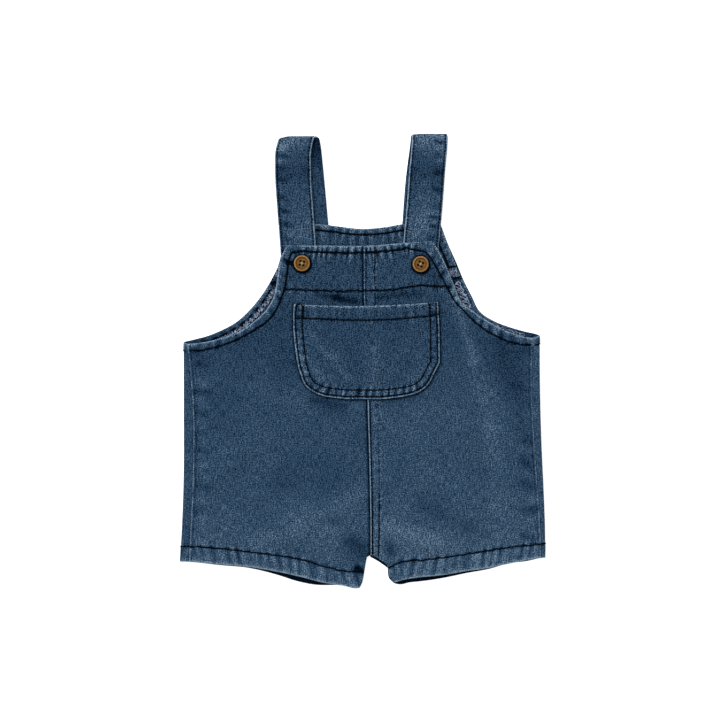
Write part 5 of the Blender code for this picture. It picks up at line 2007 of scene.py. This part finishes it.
@dataclass
class Button:
    """Turned four-hole button, crossed by its thread and standing on a thread shank."""

    side: Side
    finish: Material
    turn: float             # degrees
    radius: float = 7.0
    thick: float = 2.6
    rim: float = 1.6
    dish: float = 0.85
    hole: float = 1.0
    spacing: float = 3.1
    round_over: float = 0.9     # width over which the rim curves down
    fall: float = 1.3           # how far it curves down, and how deep the holes are
    around: int = 144

    def __post_init__(self) -> None:
        """Find the button's place and its holes."""
        self.x, self.y, self.z = button_middle(self.side)
        turn = math.radians(self.turn) + 0.25 * math.pi + 0.5 * math.pi * np.arange(4)
        self.holes = 0.5 * math.sqrt(2.0) * self.spacing * np.stack((np.cos(turn), np.sin(turn)), axis=1)
        full = self.radius
        self.below_radius = np.array((full, 0.985 * full, 0.94 * full, 0.85 * full, 4.0, 0.2))
        self.below_height = np.array((0.62, 0.32, 0.12, 0.02, 0.0, 0.0))

    def top(self, x: Array, y: Array) -> Array:
        """Height of the upper face, with its dish, its low middle boss and its holes.

        Args:
            x: Distance from its middle.
            y: The same along Y.

        Returns:
            Height above its underside.
        """
        radius = np.hypot(x, y)
        bead = self.radius - self.rim
        height = self.thick - self.dish + 0.12 * bell(radius, 3.6)
        height = height + self.dish * ease(bead - 0.9, bead + 0.35, radius)
        edge = np.clip((radius - (self.radius - self.round_over)) / self.round_over, 0.0, 1.0)
        height = height - self.fall * (1.0 - np.sqrt(1.0 - 0.995 * edge ** 2))
        nearest = np.min([np.hypot(x - hx, y - hy) for hx, hy in self.holes], axis=0)
        return height - self.fall * (1.0 - ease(self.hole - 0.12, self.hole + 0.16, nearest))

    def build(self) -> None:
        """Make the button.

        Rings round the middle carry the upper face out to the rim, and a few more carry it round the
        rim and back to the middle underneath.
        """
        rings = np.concatenate((np.linspace(0.12, 3.4, 28), np.linspace(3.5, self.radius, 34)))
        turn = np.arange(self.around) * math.tau / self.around
        radius = np.concatenate((rings, self.below_radius))
        x, y = np.outer(radius, np.cos(turn)), np.outer(radius, np.sin(turn))
        below = np.concatenate((np.zeros(len(rings)), self.below_height))[:, None]
        z = np.maximum(np.where(np.arange(len(radius))[:, None] < len(rings), self.top(x, y), below), 0.0)
        points = np.stack((x, y, z), axis=2).reshape(-1, 3)
        tips = np.array(((0.0, 0.0, float(z[0].mean())), (0.0, 0.0, 0.0)))
        depth = np.clip((z - (self.thick - self.dish)) / self.dish, -1.5, 1.0).ravel()
        flat = np.hypot(points[:, 0], points[:, 1])
        bead = self.radius - self.rim
        # Painted light and shade of the button's relief: paler on the rim and in the middle, a painted shadow
        # in the groove inside the rim, near black in the holes as deep as they go, and darker at the outer
        # edge
        wear = (0.42 * ease(bead, bead + 0.7, flat) - 0.24 * bell(flat - bead + 0.5, 0.7)
                + 0.30 * bell(flat, 1.2) - 2.2 * np.clip(-depth, 0.0, 1.0)
                - 0.35 * ease(self.radius - 0.35, self.radius, flat))
        name = self.side.word + "_button"
        mesh = new_mesh(name, np.concatenate((points, tips)) + (self.x, self.y, self.z),
                        tube_faces(len(radius), self.around)[:, ::-1], np.concatenate((wear, (0.3, 0.0))))
        new_piece(name, mesh, self.finish, ("button_" + self.side.word,))

    def cross_threads(self, work: Threadwork) -> None:
        """Lay two threads from each hole to the one opposite, in a cross.

        Each rises out of one hole and dives into the other by a flattened half sine wave.

        Args:
            work: The thread.
        """
        share = np.linspace(0.0, 1.0, 15)
        arch = np.sin(math.pi * share)
        for first, lift in ((0, 0.0), (1, 0.10)):
            start, end = 0.6 * self.holes[first], 0.6 * self.holes[first + 2]
            run = end - start
            for off in (-0.2, 0.2):
                side = off * np.array((-run[1], run[0])) / np.linalg.norm(run)
                plan = start[None] + share[:, None] * run[None] + side[None] * arch[:, None]
                z = self.thick - self.dish - 0.75 + (1.0 + lift) * arch ** 0.35
                work.cord(raised(plan, z) + (self.x, self.y, self.z), 0.24)

    def shank(self, work: Threadwork, turns: float = 4.0) -> None:
        """Wind the thread shank under the button: a tight screw line round its middle.

        Args:
            work: The thread.
            turns: How often it goes round.
        """
        share = np.linspace(0.0, 1.0, 49)
        angle = math.tau * turns * share
        path = np.stack((self.x + 0.5 * np.cos(angle), self.y + 0.5 * np.sin(angle),
                         self.z - 1.4 + 1.25 * share), axis=1)
        work.cord(path, 0.28, up=np.array((0.05, 0.08, 1.0)))


@dataclass
class Seamstress:
    """Sews all the visible threads of the garment: three threads and the pieces that they hold."""

    dark: Material
    pale: Material
    cream: Material
    fronts: dict[Side, FrontPanel]
    backs: dict[Side, BackPanel]
    straps: dict[Side, Strap]
    pocket: ChestPocket
    facing: BackFacing
    bands: dict[Side, ArmholeBand]
    buttons: dict[Side, Button]

    def body(self) -> None:
        """Sew hems, armholes, the bib and the felled centre seam."""
        work = Threadwork("body_topstitching", self.dark)
        for side, front in self.fronts.items():
            seed = 100 + 20 * side.value
            work.sew(front.on_face(front.hem_row), seed=seed, sway=0.35, swing=10.0)
            for again in (1, 6):
                work.sew(front.on_face(front.top_row, 0.8), seed=seed + again, sway=0.5, swing=6.0)
            work.sew(front.on_face(front.armhole_row), seed=seed + 2, sway=0.3)
            work.sew(front.on_face(front.facing_row), seed=seed + 3, sway=0.5, swing=8.0)
        fell = self.fronts[Side.RIGHT]
        for number, row in enumerate(fell.fell_rows):
            for low, high, sinks in FELL_RUNS:
                work.sew(fell.on_face(row, low, min(high, row.length - 1.0)), seed=140 + number, sway=0.1,
                         sink=sinks[number])
        for back in self.backs.values():
            length = back.hem_row.length
            work.sew(*back.on_face(back.hem_row, length - 12.0, length - 1.6), seed=150)
            work.sew(*back.on_face(back.armhole_row, 1.0, 10.0), seed=151)
        work.build()

    def back_rows(self) -> None:
        """Sew the rows that show on the back's outer face."""
        work = Threadwork("back_topstitching", self.dark, height=0.42)
        for side, back in self.backs.items():
            for number, (row, start, short) in enumerate(((back.hem_row, 0.5, 14.0),
                                                          (back.armhole_row, 12.0, 0.0),
                                                          (back.top_row, 1.0, 6.0))):
                work.sew(*back.on_face(row, start, row.length - short), seed=160 + side.value + 2 * number,
                         sink=0.1)
        work.build()

    def pocket_rows(self) -> None:
        """Sew the pocket on with two rows, its hem, and a bar at each top corner."""
        work = Threadwork("pocket_topstitching", self.dark, 3.4, 1.2, 0.7, 2.8)
        pocket = self.pocket
        for number, row in enumerate(pocket.rows):
            work.sew(pocket.on_face(row, 0.6, row.length - 0.6), seed=200 + number, sway=0.08)
        work.sew(pocket.on_face(pocket.hem_row, 1.0, pocket.hem_row.length - 1.0), seed=203, sway=0.15)
        far = pocket.rows[1]
        for low, high in ((0.3, 12.5), (far.length - 12.5, far.length - 0.3)):
            bar = pocket.on_face(far, low, high)
            bar[:, 0] += 0.9
            work.sew(bar, seed=205, slant=-8.0)
        work.sew(pocket.on_face(Seamline(POCKET_ARCH)), seed=206)
        work.build()

    def strap_rows(self) -> None:
        """Sew both edges of each strap."""
        for side, strap in self.straps.items():
            work = Threadwork(side.word + "_strap_topstitching", self.dark, 2.1, 1.3, 0.6, 2.7)
            for number, row in enumerate(strap.rows):
                work.sew(*strap.on_face(row, 28.0, row.length - 1.0), seed=220 + number, sway=0.06, sink=0.05)
            work.build()

    def neck(self) -> None:
        """Sew the facing to the back, with bars at the ends of its side rows."""
        work = Threadwork("neck_topstitching", self.dark, width=1.9)
        facing = self.facing
        work.sew(facing.on_face(facing.top_row, 1.0, facing.top_row.length - 1.0), seed=240)
        for side, row in facing.side_rows.items():
            work.sew(facing.on_face(row), seed=242 + side.value)
        work.build()
        bars = Threadwork("armhole_bars", self.dark, 2.6, 1.5, 0.9, 1.5)
        level = facing.lies_at + facing.wall + 0.2
        share = np.linspace(0.0, 1.0, 12)[:, None]
        for x0, y0, x1, y1 in ARMHOLE_BARS:
            bars.sew(np.array((x0, y0, level)) * (1.0 - share) + np.array((x1, y1, level)) * share, seed=250)
        bars.build()

    def bands_rows(self) -> None:
        """Overlock the bands and the facing in pale thread, and sew the bands' rows in dark."""
        pale = Threadwork("armhole_overlock", self.pale)
        dark = Threadwork("armhole_band_topstitching", self.dark, 6.0, 2.2, 0.6, 8.8)
        for side, band in self.bands.items():
            for number, loops in enumerate(OVERLOCK[side]):
                self.overlock(pale, band, number, *loops)
            path = band.on_face(band.row, 2.0, band.row.length - 1.0)
            dark.sew(path[np.abs(path[:, 0]) > band.row_beyond], seed=270 + side.value)
        tack = np.linspace(*TACK, 8)
        tack[:, 1] += 0.5 * np.sin(np.linspace(0.0, 9.0, 8))
        pale.cord(tack, 0.36, sides=5)
        facing = self.facing
        arc = np.arange(0.0, 160.0, OVERLOCK_STEP)
        for up, pitch in FACING_LOOPS:
            turn = math.tau * arc / pitch
            x = facing.low_ends[0] + 1.0 + arc + 0.6 * np.sin(turn + 0.8)
            y = facing.low + up + 0.5 * waver(arc, 6.0, 280) + 1.8 * np.sin(turn)
            side_x = np.interp(y, (facing.low, facing.high), (facing.low_ends[1], facing.high_ends[1]))
            z = facing.lies_at + facing.wall + 0.25 + 0.12 * np.cos(turn) + 0.05 * up
            pale.cord(np.stack((x, y, z), axis=1)[x < side_x - 0.6], 0.22, sides=5)
        pale.build()
        dark.build()

    @staticmethod
    def overlock(work: Threadwork, band: ArmholeBand, number: int, share: float, width: float, pitch: float,
                 radius: float, beyond: float) -> None:
        """Lay one looped cord along a band: a sine wave whose width and place waver.

        Args:
            work: The thread.
            band: The band.
            number: Which of its cords.
            share: How far across the band its middle runs.
            width: Of the wave.
            pitch: From loop to loop.
            radius: Of the cord.
            beyond: Distance from the garment's middle beyond which it is laid.
        """
        arc = np.arange(1.0, band.inner.length - 1.0, OVERLOCK_STEP)
        turn = math.tau * arc / pitch
        middle = band.edge.offset(band.side.value * (band.inset + share * band.width))
        at = arc / band.inner.length * middle.length
        plan = middle.at(at + 0.3 * pitch * np.sin(turn + 0.8) + 1.1 * waver(arc, 5.0, 266 + number))
        swing = 0.5 * width * np.sin(turn) * (1.0 + 0.25 * waver(arc, 8.0, 260 + number))
        plan = plan + swing[:, None] * left_of(unit(middle.at(at + 0.5) - middle.at(at - 0.5)))
        z = band.lies_at + band.wall + 0.22 + 0.14 * np.cos(turn) + 0.1 * number
        work.cord(raised(plan, z)[np.abs(plan[:, 0]) > beyond], radius, sides=5)

    def buttonholes(self) -> None:
        """Work each buttonhole round with close stitches square to its slot, and bar its ends."""
        work = Threadwork("buttonhole_stitches", self.dark, 1.3, 0.5, 0.5, 0.46)
        for side, front in self.fronts.items():
            x, y = buttonhole_middle(side)
            half = 0.5 * front.hole_length
            for way in (-1.0, 1.0):
                along = x + np.arange(-half, half, work.pitch)
                middle = np.full(along.shape, y + way * 1.05)
                level = front.drape(along, middle).height
                low = np.stack((along, middle - 0.45, level), axis=1)
                high = np.stack((along, middle + 0.45, level), axis=1)
                for number, ends in enumerate(np.stack((low, high), axis=1)):
                    work.sew(ends, seed=300 + number, sway=0.02)
            for end in (-1.0, 1.0):
                bar = np.stack((np.full(7, x + end * half), y + np.linspace(-1.3, 1.3, 7)), axis=1)
                work.sew(raised(bar, front.drape(bar[:, 0], bar[:, 1]).height + 0.15), seed=310, sway=0.02)
        work.build()

    def button_threads(self) -> None:
        """Cross the buttons' holes in cream thread and wind their shanks in dark."""
        cream = Threadwork("button_cross_threads", self.cream)
        for button in self.buttons.values():
            button.cross_threads(cream)
        cream.build()
        for side, button in self.buttons.items():
            shank = Threadwork(side.word + "_button_shank", self.dark)
            button.shank(shank)
            shank.build("button_thread_" + side.word)

    def sew_all(self) -> None:
        """Sew everything."""
        for job in (self.body, self.back_rows, self.pocket_rows, self.strap_rows, self.neck, self.bands_rows,
                    self.buttonholes, self.button_threads):
            job()


# -------- studio

@dataclass(frozen=True)
class SoftBox:
    """Rectangular lamp that looks at the garment."""

    name: str
    place: Spot
    size: float
    power: float

    def build(self) -> None:
        """Hang the lamp."""
        lamp = bpy.data.lights.new(self.name, "AREA")
        lamp.shape = "SQUARE"
        lamp.size = self.size
        lamp.energy = self.power
        holder = new_thing(self.name, lamp)
        holder.location = self.place
        way = -np.array(self.place)
        holder.rotation_euler = (math.acos(-way[2] / float(np.linalg.norm(way))), 0.0,
                                 math.atan2(way[1], way[0]) - 0.5 * math.pi)


@dataclass(frozen=True)
class Studio:
    """Pale floor, soft light and the camera straight above."""

    floor_size: float = 6.0
    floor_drop: float = 0.0004
    sky: float = 0.55
    camera_x: float = -0.002175
    camera_height: float = 2.006
    lens: float = 115.0
    lamps: tuple[SoftBox, ...] = (SoftBox("key", (-2.2, 2.5, 2.6), 1.3, 150.0),
                                  SoftBox("fill", (2.6, -0.8, 3.0), 2.4, 20.0))

    def build(self) -> None:
        """Set up the floor, the sky, the lamps and the camera."""
        half = 0.5 * self.floor_size
        x, y = np.meshgrid(*[np.linspace(-half, half, 9)] * 2)
        mesh = bpy.data.meshes.new("floor")
        points = np.stack((x.ravel(), y.ravel(), np.full(x.size, -self.floor_drop)), axis=1)
        mesh.from_pydata(points, [], quads(np.arange(81).reshape(9, 9)).tolist())
        mesh.materials.append(Floor().build())
        floor = new_thing("floor", mesh)
        world = bpy.data.worlds.new("sky")
        world.use_nodes = True
        sky = world.node_tree.nodes["Background"].inputs
        sky["Color"].default_value = (1.0, 1.0, 1.0, 1.0)
        sky["Strength"].default_value = self.sky
        scene = bpy.context.scene
        scene.world = world
        for lamp in self.lamps:
            lamp.build()
        lens = bpy.data.cameras.new("camera")
        lens.sensor_width = 36.0
        lens.lens = self.lens
        lens.clip_end = 20.0
        camera = new_thing("camera", lens)
        camera.location = (self.camera_x, 0.0, self.camera_height)
        scene.camera = camera
        scene.view_settings.view_transform = "Standard"
        scene.view_settings.look = "None"


def main() -> None:
    """Load the frame, build and sew the garment, and light it."""
    logging.basicConfig(level=logging.INFO, format="%(name)s: %(message)s")
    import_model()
    denim = Denim().build()
    strap_denim = Denim("strap_denim", crisp=0.36).build()
    dark = Thread("navy_thread", linear(0, 0, 3), linear(5, 8, 16)).build()
    pale = Thread("pale_thread", linear(44, 64, 92), linear(172, 187, 211), patchy=2.6).build()
    cream = Thread("cream_thread", linear(140, 124, 92), linear(186, 172, 140)).build()

    pocket = ChestPocket(Denim("pocket_denim", grain=1.42).build(), tone=-0.05)
    fronts = {Side.LEFT: FrontPanel(Side.LEFT, denim, pocket.outline, dusk=0.12),
              Side.RIGHT: FrontPanel(Side.RIGHT, denim, pocket.outline, tone=0.045, dusk=0.15)}
    backs = {Side.LEFT: BackPanel(Side.LEFT, denim, hem_depth=13.4, strip_tone=-0.02),
             Side.RIGHT: BackPanel(Side.RIGHT, denim, hem_depth=12.5, strip_tone=0.05)}
    facing = BackFacing(denim)
    bands = {Side.LEFT: ArmholeBand(Side.LEFT, denim, row_depth=4.2),
             Side.RIGHT: ArmholeBand(Side.RIGHT, denim, row_depth=3.1, row_beyond=112.0)}
    straps = {Side.LEFT: Strap(Side.LEFT, strap_denim, tone=-0.03, slump=1.6),
              Side.RIGHT: Strap(Side.RIGHT, strap_denim, slump=0.6)}
    buttons = {}
    for side, turn in ((Side.LEFT, -10.0), (Side.RIGHT, -25.0)):
        x, y, _ = button_middle(side)
        buttons[side] = Button(side, Wood(side.word + "_button_wood", (x * MM, y * MM)).build(), turn)

    for piece in (*backs.values(), facing, *bands.values(), *straps.values(), *fronts.values(), pocket,
                  *buttons.values()):
        piece.build()
    Seamstress(dark, pale, cream, fronts, backs, straps, pocket, facing, bands, buttons).sew_all()
    Studio().build()


if __name__ == "__main__":
    main()
